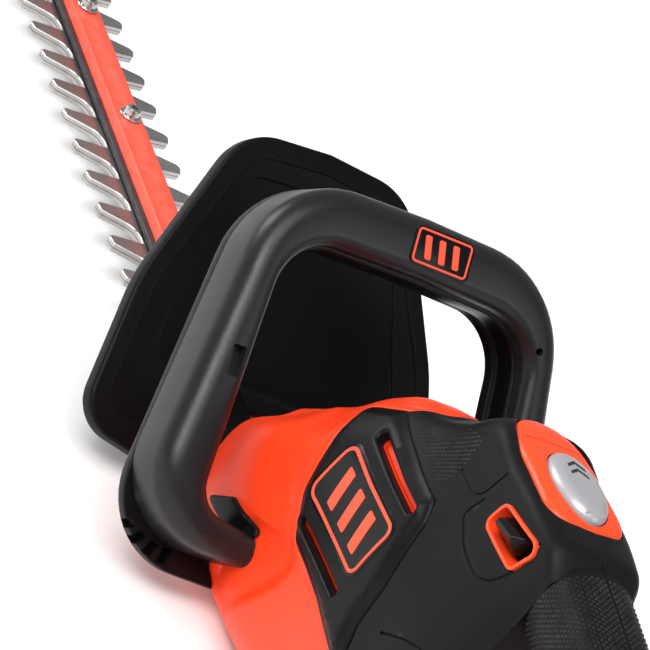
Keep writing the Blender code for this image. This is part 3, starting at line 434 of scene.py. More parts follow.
RUBBER = finish_of("soft_grip_rubber", (0.0050, 0.0050, 0.0055), 0.44, gloss=0.13, grain=0.45,
                   grain_scale=2600.0, edge_wear_and_highlight=0.3, wear_and_highlight_colour=(0.07, 0.07, 0.075))
STEEL = finish_of("ground_steel", (0.42, 0.40, 0.39), 0.33, 1.0, mottle=0.18, grain=0.30, edge_wear_and_highlight=0.6,
                  wear_and_highlight_colour=(0.75, 0.74, 0.73), brushed=(40.0, 2200.0, 2200.0), rough_spread=0.16)
BRIGHT_STEEL = finish_of("zinc_plated_steel", (0.52, 0.51, 0.50), 0.28, 1.0, mottle=0.12, grain=0.18,
                         edge_wear_and_highlight=0.5, wear_and_highlight_colour=(0.8, 0.8, 0.8), grain_scale=900.0, rough_spread=0.14)
DARK_STEEL = finish_of("blackened_steel", (0.06, 0.06, 0.065), 0.4, 1.0, edge_wear_and_highlight=0.6, wear_and_highlight_colour=(0.35, 0.35, 0.35))
RAIL_DARK = finish_of("dark_anodised_rail", (0.045, 0.045, 0.05), 0.36, 0.6, edge_wear_and_highlight=0.7, wear_and_highlight_colour=(0.4, 0.4, 0.4),
                      brushed=(30.0, 1500.0, 1500.0), grain=0.2)
BAR_PAINT = finish_of("bar_paint", (0.86, 0.075, 0.035), 0.45, mottle=0.05, grain=0.25, grain_scale=700.0,
                      edge_wear_and_highlight=0.4, wear_and_highlight_colour=(0.75, 0.35, 0.28), coat=0.3)
SILVER = finish_of("silver_plastic", (0.43, 0.42, 0.44), 0.34, 0.35, mottle=0.05, grain=0.12, edge_wear_and_highlight=0.2,
                   grain_scale=3000.0)
MARKING = finish_of("printed_orange", (0.88, 0.085, 0.035), 0.45, mottle=0.04, grain=0.05, edge_wear_and_highlight=0.0)
DARK_INK = finish_of("dark_marking", (0.02, 0.02, 0.022), 0.5, mottle=0.04, grain=0.05, edge_wear_and_highlight=0.0)
CAST = finish_of("cast_alloy", (0.42, 0.42, 0.43), 0.48, 1.0, mottle=0.15, grain=0.6, grain_scale=500.0,
                 edge_wear_and_highlight=0.5, wear_and_highlight_colour=(0.7, 0.7, 0.7))
CELLS = finish_of("cell_wrap", (0.05, 0.16, 0.33), 0.35, 0.1, grain=0.1)
BOARD = finish_of("circuit_board", (0.02, 0.12, 0.04), 0.4, mottle=0.25, grain=0.3, grain_scale=400.0)
SLOT_FINISH = {
    "orange": ORANGE, "charcoal": CHARCOAL, "black": GLOSS_BLACK, "soft_grip": RUBBER,
    "steel": BRIGHT_STEEL, "dark_steel": DARK_STEEL, "painted_bar": BAR_PAINT, "dark_rail": RAIL_DARK,
    "silver": SILVER, "cast": CAST, "cells": CELLS, "board": BOARD,
}


def dress_cad_nodes():
    """Gives every CAD node the procedural finish of its slot."""
    for row in frame["record"]["subparts"]:
        mesh = frame["nodes"][row["node"]].data
        mesh.materials.clear()
        mesh.materials.append(SLOT_FINISH[row["material_slot"]])


# ---------------------------------------------------------------- body shape

# Upper half-outline of the body at stations along it. Columns: x, top z, crown half-width, valley (y, z),
# shoulder (y, z), side (y, z), low edge (y, z).
STATIONS = (
    (-142, 80, 8, 15, 72, 24, 63, 31, 46, 29, 31),
    (-149, 87, 9, 21, 79, 33, 70, 38, 50, 35, 31),
    (-161, 96, 11, 27, 87, 41, 79, 45, 57, 40, 31),
    (-177, 109, 12, 31, 98, 45, 89, 49, 62, 43, 31),
    (-200, 136, 13, 32, 116, 44, 101, 48, 66, 44, 31),
    (-224, 149, 13, 30, 131, 38, 116, 43.5, 74, 43, 31),
    (-246, 157, 14, 27, 142, 34, 127, 40, 84, 41, 31),
    (-260, 167, 15, 25, 148, 33, 131, 39, 84, 40, 31),
    (-273, 178, 18, 24, 154, 32, 133, 38.5, 84, 39, 31),
    (-302, 178, 20, 23.5, 155, 31, 130, 37.5, 84, 38, 31),
    (-332, 178, 20, 23, 152, 29, 128, 35, 84, 37, 31),
    (-356, 176, 18, 20, 150, 25, 126, 31, 84, 36, 31),
)
BOTTOM_Z = 14.0
BOTTOM_INSET = 17.0
SKIN = 2.6
SKIN_GAP = 0.55
WALL = 3.4
COVER_OUTLINE = ((-222, 112, 12), (-211, 129, 5), (-230, 143, 5), (-286, 142, 6), (-293, 135, 8),
                 (-303, 109, 10), (-305, 91, 10), (-313, 71, 6), (-276, 77, 16), (-242, 79.5, 8),
                 (-229, 94, 12))
COVER_RIM = rounded(COVER_OUTLINE, 8)
GRIP_OUTLINE = ((-230, 143.7), (-224, 150), (-224, 190), (-540, 190), (-540, 74), (-315, 71.5), (-306, 91),
                (-304, 109), (-294, 135), (-287, 142.7))
CREST = ((-215, 27), (-229, 26), (-240, 11), (-250, 0))
POCKET = rounded([(-207, 64, 4), (-226, 73, 10), (-242, 76, 5), (-251, 68, 5), (-245, 54, 8), (-236, 38, 8),
                  (-232, 26, 3), (-206, 26, 3)], 5)
COLLAR_FADE = (-268.0, -246.0)
REAR_ROUND = 9.0
REAR_DRAW = 0.10


def body_section(row):
    """Closed (y, z) outline of one station, from the low edge over the top to the other side."""
    top, crown, valley, valley_z, shoulder, shoulder_z, side, side_z, low, low_z = row[1:]
    half = [(low - BOTTOM_INSET, BOTTOM_Z), (low, low_z), ((low + side) / 2 + 1.0, (low_z + side_z) / 2),
            (side, side_z), ((side + shoulder) / 2 + 1.0, (side_z + shoulder_z) / 2 + 4),
            (shoulder, shoulder_z), (valley, valley_z), ((valley + crown) / 2, (valley_z + top) / 2 + 2),
            (crown, top - 3.0), (crown * 0.5, top)]
    return [(0.0, BOTTOM_Z)] + half + [(0.0, top + 0.3)] + [(-y, z) for y, z in reversed(half)]


def smooth_ring(points, per):
    """Closed smooth curve through a closed ring of points."""
    wrapped = np.array(list(points[-3:]) + list(points) + list(points[:4]))
    chords = np.linalg.norm(np.diff(wrapped, axis=0), axis=1)
    knots = np.concatenate([[0], np.cumsum(np.maximum(chords, 0.5) ** 0.6)])
    curve = smooth_rows(wrapped, knots, per)
    return curve[3 * per:(3 + len(points)) * per]


def sculpt(x, y, z):
    """Height that the moulding stands above the plain body: hollow in front of the cover, and pocket."""
    flat = np.stack([x, z], axis=1)
    upper = step(70, 84, z) * step(14, 24, np.abs(y))
    out = signed_distance(flat, rounded(COVER_OUTLINE, 4))
    hollow = 2.4 * step(7, 15, out) * (1 - step(24, 36, out)) * step(COLLAR_FADE[0], COLLAR_FADE[1], x)
    pocket = 2.7 * step(0.0, 4.5, -signed_distance(flat, POCKET)) * step(8, 20, np.abs(y))
    return -upper * hollow - pocket


def fine_body(name, grow, carved=True, per_x=6, per_ring=6):
    """Body as a smooth loft, moved outward by grow along its normals."""
    xs = [row[0] for row in STATIONS]
    table = [[row[0]] + [c for p in body_section(row) for c in p] for row in STATIONS]
    rows = smooth_rows(table, [-x for x in xs], per_x)
    grid = []
    for row in rows:
        ring = smooth_ring(row[1:].reshape(-1, 2), per_ring)
        grid.append(np.column_stack([np.full(len(ring), row[0]), ring]))
    grid = np.array(grid)
    along = np.gradient(grid, axis=0)
    around = np.roll(grid, -1, axis=1) - np.roll(grid, 1, axis=1)
    normal = np.cross(around, along)
    normal /= np.linalg.norm(normal, axis=2)[:, :, None]
    middle = grid.mean(axis=1, keepdims=True)
    if np.sum(normal * (grid - middle)) < 0:
        normal = -normal
    flat = grid.reshape(-1, 3)
    height = sculpt(flat[:, 0], flat[:, 1], flat[:, 2]).reshape(grid.shape[:2]) if carved else 0.0
    grid = grid + normal * (np.zeros(grid.shape[:2]) + height + grow)[:, :, None]
    turn = np.clip((REAR_ROUND - grid[:, :1, 0] + STATIONS[-1][0]) / REAR_ROUND, 0, 1)
    drawn = REAR_DRAW * (1 - np.sqrt(1 - turn ** 2))
    grid[:, :, 1:] -= (grid - middle)[:, :, 1:] * drawn[:, :, None]
    grid[:, :, 0] = np.minimum(grid[:, :, 0], STATIONS[0][0] + grow)
    grid[0, :, 0] = STATIONS[0][0] + grow
    grid[-1, :, 0] = STATIONS[-1][0] - grow
    return loft(name, [[tuple(p) for p in ring] for ring in grid])


# Centreline of the D handle's grip, from inside the head round to the foot: x, z, half-height, half-width
HANDLE_PATH = (
    (-318, 160.0, 15.0, 17.0), (-345, 159.0, 15.5, 17.0), (-375, 155.5, 16.0, 17.0),
    (-405, 151.0, 16.5, 17.5), (-435, 145.5, 16.5, 17.5), (-463, 137.5, 16.0, 17.0),
    (-484, 123.0, 15.5, 17.0), (-497, 103.0, 14.5, 17.5), (-502, 82.0, 13.0, 18.5),
    (-503, 62.0, 12.4, 19.5),
)


def fine_handle(name, grow, sides=40, per=5):
    """Rounded grip section carried along the handle's centreline."""
    points = np.array(HANDLE_PATH)
    knots = np.concatenate([[0], np.cumsum(np.linalg.norm(np.diff(points[:, :2], axis=0), axis=1))])
    rows = smooth_rows(points, knots, per)
    slopes = np.gradient(rows[:, :2], axis=0)
    rings = []
    for (x, z, high, wide), (dx, dz) in zip(rows, slopes):
        run = math.hypot(dx, dz)
        up = Vector((dz / run, 0, -dx / run))
        ring = []
        for s in range(sides):
            a = 2 * math.pi * (s + 0.5) / sides
            y = math.copysign(abs(math.cos(a)) ** 0.8, math.cos(a)) * (wide + grow)
            h = math.copysign(abs(math.sin(a)) ** 0.8, math.sin(a)) * (high + grow)
            ring.append(Vector((x, y, z)) + up * h)
        rings.append(ring)
    return loft(name, rings)


def foot_block(name, grow):
    """Bar under the hand opening that carries the battery rails."""
    floor = 44.3 + (9.7 if grow < 0 else 0.0)
    shape = rounded([(-515 - grow, floor, 4.5), (-340, floor, 4.5), (-340, 70 + grow, 4.5),
                     (-515 - grow, 70 + grow, 4.5)], 6)
    return side_prism(name, shape, -32 - grow, 32 + grow, edge=4.0)


def chin_block(name, grow):
    """Lower rear of the body, in front of the battery."""
    outline = box_outline(-398 - grow, -38 - grow, -330, 38 + grow, 3.0)
    return prism(name, outline, BOTTOM_Z - grow, 60.0 + min(grow, 0), edge=2.5, edges="low")


def hull(name, grow, whole=False, carved=True, fine=True):
    """Outer shape of the housing, moved outward by grow."""
    per_body = (9, 7) if fine else (2, 2)
    per_handle = (40, 5) if fine else (16, 2)
    made = join(fine_body(name, grow, carved, *per_body), fine_handle("grip", grow, *per_handle))
    if whole:
        join(made, foot_block("foot", grow), chin_block("chin", grow))
    return made


SURFACE = hull("surface", 0.0)
SURFACE_TREE = BVHTree.FromPolygons([v.co / MM + Vector((0, 0, REST_Z)) for v in SURFACE.data.vertices],
                                    [tuple(p.vertices) for p in SURFACE.data.polygons])


def on_side(x, z, side):
    """Point of the body's side at (x, z), and the outward normal there, evened out over the facets nearby."""
    hits = []
    for dx, dz in ((0, 0), (1.3, 0), (-1.3, 0), (0, 1.3), (0, -1.3)):
        hit, normal, _, _ = SURFACE_TREE.ray_cast(Vector((x + dx, 200.0, z + dz)), Vector((0, -1, 0)))
        if hit is not None:
            hits.append((hit, normal))
        elif not hits:
            return Vector((x, 0, z)), Vector((0, side, 0))
    even = sum((normal for _, normal in hits), Vector()).normalized()
    return Vector((x, hits[0][0].y * side, z)), Vector((even.x, even.y * side, even.z))


def divided(outline, spacing):
    """Closed outline with points no further apart than spacing."""
    points = []
    for a, b in zip(outline, outline[1:] + outline[:1]):
        count = max(1, math.ceil(math.dist(a, b) / spacing))
        points += [(a[0] + (b[0] - a[0]) * k / count, a[1] + (b[1] - a[1]) * k / count) for k in range(count)]
    return points


THIN_FACE = 1e-3


def filled(loops, spacing, margin):
    """Triangles between an outer loop and its holes, with a regular field of points inside."""
    points = []
    edges = []
    for loop in loops:
        start = len(points)
        points += loop
        edges += [(start + k, start + (k + 1) % len(loop)) for k in range(len(loop))]
    outer = np.array(loops[0])
    xs = np.arange(outer[:, 0].min(), outer[:, 0].max(), spacing)
    zs = np.arange(outer[:, 1].min(), outer[:, 1].max(), spacing)
    field = np.array([(x, z) for x in xs for z in zs])
    if len(field):
        clear = signed_distance(field, loops[0]) < -margin
        for hole in loops[1:]:
            clear &= signed_distance(field, hole) > margin
        points += [tuple(p) for p in field[clear]]
    placed, _, faces, origins, _, _ = delaunay_2d_cdt([Vector(p) for p in points], edges, [], 0, 1e-7)
    spots = np.array([tuple(p) for p in placed])
    corners = spots[np.array(faces)]
    centres = corners.mean(axis=1)
    inside = signed_distance(centres, loops[0]) < 0
    for hole in loops[1:]:
        inside &= signed_distance(centres, hole) > 0
    return [tuple(p) for p in placed], origins, settled(faces, corners, inside)


def settled(faces, corners, inside):
    """Faces inside, where a face with no area counts as its neighbour across its longest edge does."""
    first = corners[:, 1] - corners[:, 0]
    second = corners[:, 2] - corners[:, 0]
    thin = np.abs(first[:, 0] * second[:, 1] - first[:, 1] * second[:, 0]) < THIN_FACE
    owners = {}
    for number, face in enumerate(faces):
        for k in range(3):
            owners.setdefault(frozenset((face[k], face[(k + 1) % 3])), []).append(number)
    for _ in range(3):
        for number in np.flatnonzero(thin):
            lengths = [np.linalg.norm(corners[number][k] - corners[number][(k + 1) % 3]) for k in range(3)]
            k = int(np.argmax(lengths))
            edge = frozenset((faces[number][k], faces[number][(k + 1) % 3]))
            others = [other for other in owners[edge] if other != number]
            inside[number] = bool(others) and bool(inside[others[0]])
    return [face for face, good in zip(faces, inside) if good]


def skin(name, loops, low, high, edge, side=1, spacing=2.2, lift=None, steps=4):
    """Plate that follows the body: loops[0] is its outline, the rest are holes, rims rounded by edge."""
    loops = [divided(loop, 1.4) for loop in loops]
    turns = [math.pi / 2 * k / steps for k in range(steps + 1)]
    levels = [(low, 0.0)] + [(high - edge + edge * math.sin(a), edge * (1 - math.cos(a))) for a in turns]
    points = []
    faces = []

    def put(u, v, h):
        hit, normal = on_side(u, v, side)
        extra = lift(u, v) if lift and h > low else 0.0
        points.append(hit + normal * (h + extra))
        return len(points) - 1

    ends = {"bottom": [], "top": []}
    for number, loop in enumerate(loops):
        grow = -1 if number == 0 else 1
        rows = []
        for h, inset in levels:
            ring = offset(loop, grow * inset) if inset else loop
            rows.append([put(u, v, h) for u, v in ring])
            if h == levels[-1][0]:
                ends["top"].append((ring, rows[-1]))
        ends["bottom"].append((loop, rows[0]))
        for a, b in zip(rows, rows[1:]):
            faces += [(a[k], a[(k + 1) % len(a)], b[(k + 1) % len(a)], b[k]) for k in range(len(a))]
    for key, h in (("bottom", low), ("top", levels[-1][0])):
        rims = [ring for ring, _ in ends[key]]
        known = [i for _, row in ends[key] for i in row]
        flat, origins, inner = filled(rims, spacing, spacing * 0.6)
        index = [known[origin[0]] if origin and origin[0] < len(known) else put(u, v, h)
                 for (u, v), origin in zip(flat, origins)]
        faces += [tuple(index[i] for i in f) for f in inner]
    return mesh_piece(name, points, faces)


# ---------------------------------------------------------------- housing halves

COVER_TOP = SKIN + 0.8
COVER_RISE = 2.2
HOUSING_SCREWS = ((-178, 82, 46.0), (-340, 100, 30.0), (-501, 88, 17.0))
VENT_ZS = (133.0, 88.0)


def lock_window_outline(grow=0.0):
    shape = rounded([(-342, 155, 4), (-349, 173, 5), (-316, 169.5, 5), (-313, 155.5, 4)], 6)
    return offset(shape, grow) if grow else shape


def cap_outline(grow=0.0):
    half = [(-268, 0), (-270, 8), (-278, 15), (-292, 18), (-305, 18), (-318, 18.5), (-328, 18),
            (-334, 14), (-337, 0)]
    loop = smooth_ring(half + [(x, -y) for x, y in reversed(half[1:-1])], 5)
    return offset([tuple(p) for p in loop], grow)


def button_outline(grow=0.0):
    turns = [2 * math.pi * k / 56 for k in range(56)]
    return offset([(-313 + 20.5 * math.cos(a), 12.0 * math.sin(a)) for a in turns], grow)


def case_outline(half_width, inset=0.0):
    return box_outline(-262 + inset, -half_width, -148 - inset, half_width, 17.0 - inset, 6)


def opening_cutters(side):
    """Openings that pass through both the housing and the soft grip over it."""
    return [side_prism("window", lock_window_outline(), side * 10, side * 60),
            block("trigger_slot", (-417, -7, 118), (-368, 7, 146)),
            prism("cap_seat", cap_outline(0.4), 177.4, 200),
            prism("button_way", button_outline(0.6), 168.0, 177.5)]


def housing_cutters(side):
    made = [prism("case_opening", case_outline(26.4, -0.4), -5.0, 26.0),
            block("blade_exit", (-160, -14.6, 26.2), (-130, 14.6, 46.0)),
            block("rail_neck", (-540, -20.5, 40.0), (-402, 20.5, 46.5)),
            block("rail_head", (-540, -26.5, 46.6), (-402, 26.5, 51.5)),
            block("contacts", (-410, -16, 18.0), (-388, 16, 38.0))]
    for z in VENT_ZS:
        gap = box_outline(-285, z - 2.0, -239, z - 0.8, 0.5, 3)
        made.append(side_prism("vent", gap, side * 25, side * 80))
    return made + opening_cutters(side)


def make_housing():
    whole = join(copy_of(SURFACE, "whole"), foot_block("foot", 0.0), chin_block("chin", 0.0))
    inside = hull("inside", -WALL, whole=True, carved=False, fine=False)
    cut(whole, inside)
    left = keep(whole, block("half", (-560, 0.15, -20), (-100, 120, 230)))
    cut(left, *housing_cutters(1))
    right = mirrored(left, "right")
    sinks = [rod("sink", 3.5, (x, 6.6 - depth, z), (x, -90.0, z)) for x, z, depth in HOUSING_SCREWS]
    cut(right, *sinks)
    place(left, "housing_shell_left", ORANGE, replaces=["housing_left"])
    place(right, "housing_shell_right", ORANGE, replaces=["housing_right"])


def plateau(x, z):
    """Raised middle of the motor cover, with a soft step along its rim."""
    inside = -signed_distance(np.array([(x, z)]), COVER_RIM)[0]
    return COVER_RISE * float(step(1.8, 5.4, inside))


def collar_height(x, z):
    """Fall of the shell's raised collar from the cover's edge outward, and its fade to the rear."""
    out = signed_distance(np.array([(x, z)]), COVER_RIM)[0]
    stays = (1 - step(1.2, 7.5, out)) * step(COLLAR_FADE[0], COLLAR_FADE[1], x)
    return -2.5 * float(1 - stays)


def make_cover():
    vents = [box_outline(-286, z - 2.0, -238, z + 2.0, 1.9, 5) for z in VENT_ZS]
    left = skin("cover", [COVER_RIM] + vents, 0.35, COVER_TOP, 1.6, lift=plateau, spacing=1.8)
    place(mirrored(left, "cover_right"), "motor_cover_shell_right", COVER_BLACK,
          replaces=["motor_cover_right"])
    place(left, "motor_cover_shell_left", COVER_BLACK, replaces=["motor_cover_left"])
    collar = skin("collar", [offset(COVER_RIM, 8.0), offset(COVER_RIM, 0.7)], -1.0, 2.0, 0.5,
                  lift=collar_height, spacing=1.6, steps=3)
    place(mirrored(collar, "collar_right"), "shell_collar_right", ORANGE)
    place(collar, "shell_collar_left", ORANGE)


def frame_marks(outline, width):
    """Loops of a rounded frame line."""
    return [outline, offset(outline, -width)]


def slanted_bars(u0, u1, v0, v1, count, slant, share=0.45):
    """Plain bars side by side, leaning by slant."""
    pitch = (u1 - u0) / count
    bars = []
    for k in range(count):
        a = u0 + pitch * k
        b = a + pitch * share
        bars.append(rounded([(a, v0, 0.8), (b, v0, 0.8), (b + slant, v1, 0.8), (a + slant, v1, 0.8)], 3))
    return bars


def make_side_badges():
    base = COVER_TOP + COVER_RISE
    outline = box_outline(-288, 98, -234, 124, 5.0, 6)
    for word, side in SIDES:
        panel = skin("panel", [offset(outline, 1.5)], base - 0.5, base + 0.25, 0.2, side, 3.0, steps=2)
        place(panel, f"badge_panel_{word}", GLOSS_BLACK, replaces=[f"badge_{word}"])
        marks = [skin("frame", frame_marks(outline, 1.5), base + 0.1, base + 0.55, 0.15, side, 3.0, steps=1)]
        for bar in slanted_bars(-280, -240, 103, 119, 3, 4.0):
            marks.append(skin("bar", [bar], base + 0.1, base + 0.55, 0.15, side, 3.0, steps=1))
        place(gather("marks", marks), f"badge_frame_{word}", MARKING)


# ---------------------------------------------------------------- soft grips

GROOVES = (((-280, 156), (-299, 156), (-302, 161), (-304, 173)),
           ((-304, 160), (-301, 149), (-317, 143), (-332, 142), (-338, 146), (-344, 160), (-344, 172)),
           ((-318, 98), (-330, 106), (-346, 112)))
KNURL_PATCH = ((-246, 144.5), (-247, 149), (-250, 154.5), (-262, 163), (-273, 169), (-280, 170), (-282, 160),
               (-282, 144.5))
KNURL_PITCH = 2.5
KNURL_REACH = (-360.0, -462.0)
KNURL_TURNS = (-38.0, 86.0)


def groove_cutter(points, side):
    """Thin round bar along a line on the grip, which cuts a panel groove."""
    line = []
    for a, b in zip(points, points[1:]):
        count = max(2, round(math.dist(a, b) / 2.5))
        line += [(a[0] + (b[0] - a[0]) * k / count, a[1] + (b[1] - a[1]) * k / count) for k in range(count)]
    line.append(points[-1])
    smooth = np.array(line)
    for _ in range(3):
        smooth[1:-1] = (smooth[:-2] + 2 * smooth[1:-1] + smooth[2:]) / 4
    spots = []
    for x, z in smooth:
        hit, normal = on_side(x, z, side)
        spots.append((hit + normal * SKIN, normal))
    rings = []
    for k, (spot, normal) in enumerate(spots):
        along = (spots[min(k + 1, len(spots) - 1)][0] - spots[max(k - 1, 0)][0]).normalized()
        across = along.cross(normal).normalized()
        up = across.cross(along)
        rings.append([spot + (across * math.cos(a) * 0.6 + up * math.sin(a) * 0.8)
                      for a in [2 * math.pi * s / 8 for s in range(8)]])
    return loft("groove", rings)


def make_grips():
    layer = cut(hull("grip", SKIN, carved=False), hull("core", SKIN_GAP, carved=False))
    keep(layer, side_prism("outline", list(GRIP_OUTLINE), 0.2, 120))
    crest = list(CREST) + [(x, -y) for x, y in reversed(CREST[:-1])]
    cut(layer, prism("crest", crest, 142.0, 230.0))
    cut(layer, *opening_cutters(1))
    for line in GROOVES:
        cut(layer, groove_cutter(line, 1))
    right = mirrored(layer, "right")
    cut(right, *[rod("sink", 3.5, (x, -8.0, z), (x, -90.0, z)) for x, z, _ in HOUSING_SCREWS[1:]])
    place(layer, "soft_grip_left", RUBBER, replaces=["handle_grip_left"])
    place(right, "soft_grip_right", RUBBER, replaces=["handle_grip_right"])


def stud(points, faces, hit, normal):
    """Adds one small pointed stud to the lists."""
    across = normal.cross(Vector((0, 0, 1))).normalized()
    up = across.cross(normal)
    start = len(points)
    for radius, height in ((1.0, SKIN - 0.3), (0.9, SKIN + 0.05), (0.35, SKIN + 0.5)):
        points += [hit + normal * height + across * radius * c + up * radius * s
                   for c, s in ((1, 0), (0, 1), (-1, 0), (0, -1))]
    for ring in (0, 4):
        faces += [(start + ring + k, start + ring + (k + 1) % 4, start + ring + 4 + (k + 1) % 4,
                   start + ring + 4 + k) for k in range(4)]
    faces += [tuple(start + 8 + k for k in range(4)), tuple(start + k for k in (3, 2, 1, 0))]


def make_knurl():
    """Fields of studs on the grips: in front of the head, and round the bar for the palm."""
    outline = list(KNURL_PATCH)
    xs = np.arange(min(p[0] for p in outline), max(p[0] for p in outline), KNURL_PITCH)
    zs = np.arange(min(p[1] for p in outline), max(p[1] for p in outline), KNURL_PITCH / 2)
    field = np.array([(x + KNURL_PITCH / 2 * (j % 2), z) for j, z in enumerate(zs) for x in xs])
    path = np.array(HANDLE_PATH)[:6]
    for word, side in SIDES:
        points = []
        faces = []
        for x, z in field[signed_distance(field, outline) < -0.8]:
            stud(points, faces, *on_side(x, z, side))
        for k, x in enumerate(np.arange(KNURL_REACH[0], KNURL_REACH[1], -KNURL_PITCH / 2)):
            middle = Vector((x, 0, np.interp(-x, -path[:, 0], path[:, 1])))
            for turn in np.arange(KNURL_TURNS[0] + 4.1 * (k % 2), KNURL_TURNS[1], 8.2):
                away = Vector((0, side * math.cos(math.radians(turn)), math.sin(math.radians(turn))))
                hit, normal, _, _ = SURFACE_TREE.ray_cast(middle + away * 60, -away)
                if hit is not None and abs(normal.x) < 0.8:
                    stud(points, faces, hit, normal)
        place(mesh_piece("studs", points, faces), f"grip_studs_{word}", RUBBER, angle=20.0)


# ---------------------------------------------------------------- controls

CAP_TOP_Z = 182.4
BUTTON_TOP_Z = 186.5
BUTTON_X = -313.0
LOCK_X = -327.0


def dome(name, outline, low, shoulder, top, shrink, centre_x):
    """Straight wall to the shoulder, then a quarter-round crown that draws in by shrink of its size."""
    levels = [(low, 1.0), (shoulder, 1.0)]
    for k in range(1, 11):
        a = math.pi / 2 * k / 10
        levels.append((shoulder + (top - shoulder) * math.sin(a), 1.0 - shrink * (1 - math.cos(a))))
    return loft(name, [[(centre_x + (x - centre_x) * scale, y * scale, z) for x, y in outline]
                       for z, scale in levels])


def make_cap():
    """Domed cap round the button, with the parting line across its front."""
    cap = dome("cap", cap_outline(), 177.9, 178.8, CAP_TOP_Z + 0.3, 0.42, -300.0)
    cutters = [prism("button_way", button_outline(0.5), 170.0, 200),
               prism("line", box_outline(-286.5, -30, -285.9, 30), 181.6, 190)]
    for cutter in cutters:
        cut(cap, cutter)
    return place(cap, "control_cap", CAP_ORANGE, replaces=["top_cap"])


def make_button():
    """Oval thumb button: domed, with finger ridges at its rear and a raised pair of chevrons."""
    button = dome("button", button_outline(), 171.5, 182.0, BUTTON_TOP_Z, 0.42, BUTTON_X)
    ridges = []
    for k in range(5):
        x = -331 + 3.2 * k
        half = 4.4 + 0.4 * k
        ridges.append(prism("ridge", box_outline(x - 0.55, -half, x + 0.55, half, 0.5, 3), 183.0,
                            BUTTON_TOP_Z - 0.9 + 0.25 * k, edge=0.4, edges="high", steps=2))
    place(gather("button", [button] + ridges), "thumb_button", SILVER, body="boost_button",
          replaces=["boost_button"])
    marks = []
    for x in (-303.0, -307.5):
        tip = [(x + 2.2, 0.0), (x - 1.2, 4.2), (x - 2.8, 4.2), (x + 0.4, 0.0), (x - 2.8, -4.2),
               (x - 1.2, -4.2)]
        marks.append(prism("chevron", tip, BUTTON_TOP_Z - 0.6, BUTTON_TOP_Z + 0.15))
    place(gather("marks", marks), "thumb_button_marks", DARK_INK, body="boost_button")


def make_lock_off():
    """Slide with a smooth wedge-shaped thumb paddle in a rimmed window on each side."""
    slide = block("slide", (LOCK_X - 3, -17, 157.5), (LOCK_X + 3, 17, 164.0))
    for side in (1, -1):
        base = rounded([(LOCK_X - 9, 159.5, 2), (LOCK_X + 8, 157.5, 2), (LOCK_X + 6, 166.5, 2),
                        (LOCK_X - 11.5, 168.5, 2)], 5)
        ridge = rounded([(LOCK_X - 8.5, 164.3, 0.8), (LOCK_X + 5.5, 161.8, 0.8), (LOCK_X + 5.0, 164.6, 0.8),
                         (LOCK_X - 9.5, 167.0, 0.8)], 5)
        levels = ((16.5, base), (22.5, offset(base, 0.2)), (23.6, offset(base, -0.3)),
                  (28.0, offset(ridge, 0.25)), (28.8, offset(ridge, -0.5)))
        join(slide, loft("paddle", [[(x, side * y, z) for x, z in shape] for y, shape in levels]))
    place(slide, "lock_off_paddles", GLOSS_BLACK, body="lock_off", replaces=["lock_off_slide"])
    for word, side in SIDES:
        rim = lock_window_outline(-0.3)
        bezel = side_prism("bezel", rim, side * 18.6, side * 40)
        cut(bezel, side_prism("hole", offset(rim, -1.3), side * 10, side * 50))
        keep(bezel, hull("skin", SKIN + 0.9, carved=False))
        place(bezel, f"lock_off_rim_{word}", CAP_ORANGE, replaces=[f"lock_off_bezel_{word}"])


def make_trigger():
    shape = rounded([(-369, 152, 2), (-375, 153, 2), (-412, 147, 2), (-413, 136, 3), (-409, 121, 5),
                     (-401, 118.5, 5), (-391, 126, 12), (-378, 129, 5), (-369, 138, 3)], 8)
    trigger = side_prism("trigger", shape, -6, 6, edge=1.8)
    for k in range(5):
        x = -411 + 3.4 * k
        cut(trigger, side_prism("groove", box_outline(x, 116, x + 0.8, 120.8 + 0.9 * max(0, k - 2)), -4, 4))
    place(trigger, "trigger_lever", GLOSS_BLACK, body="trigger", replaces=["trigger"])


# ---------------------------------------------------------------- guard

GUARD_SCREW_YS = (21.0, -21.0)
GUARD_SCREW_Z = 34.0


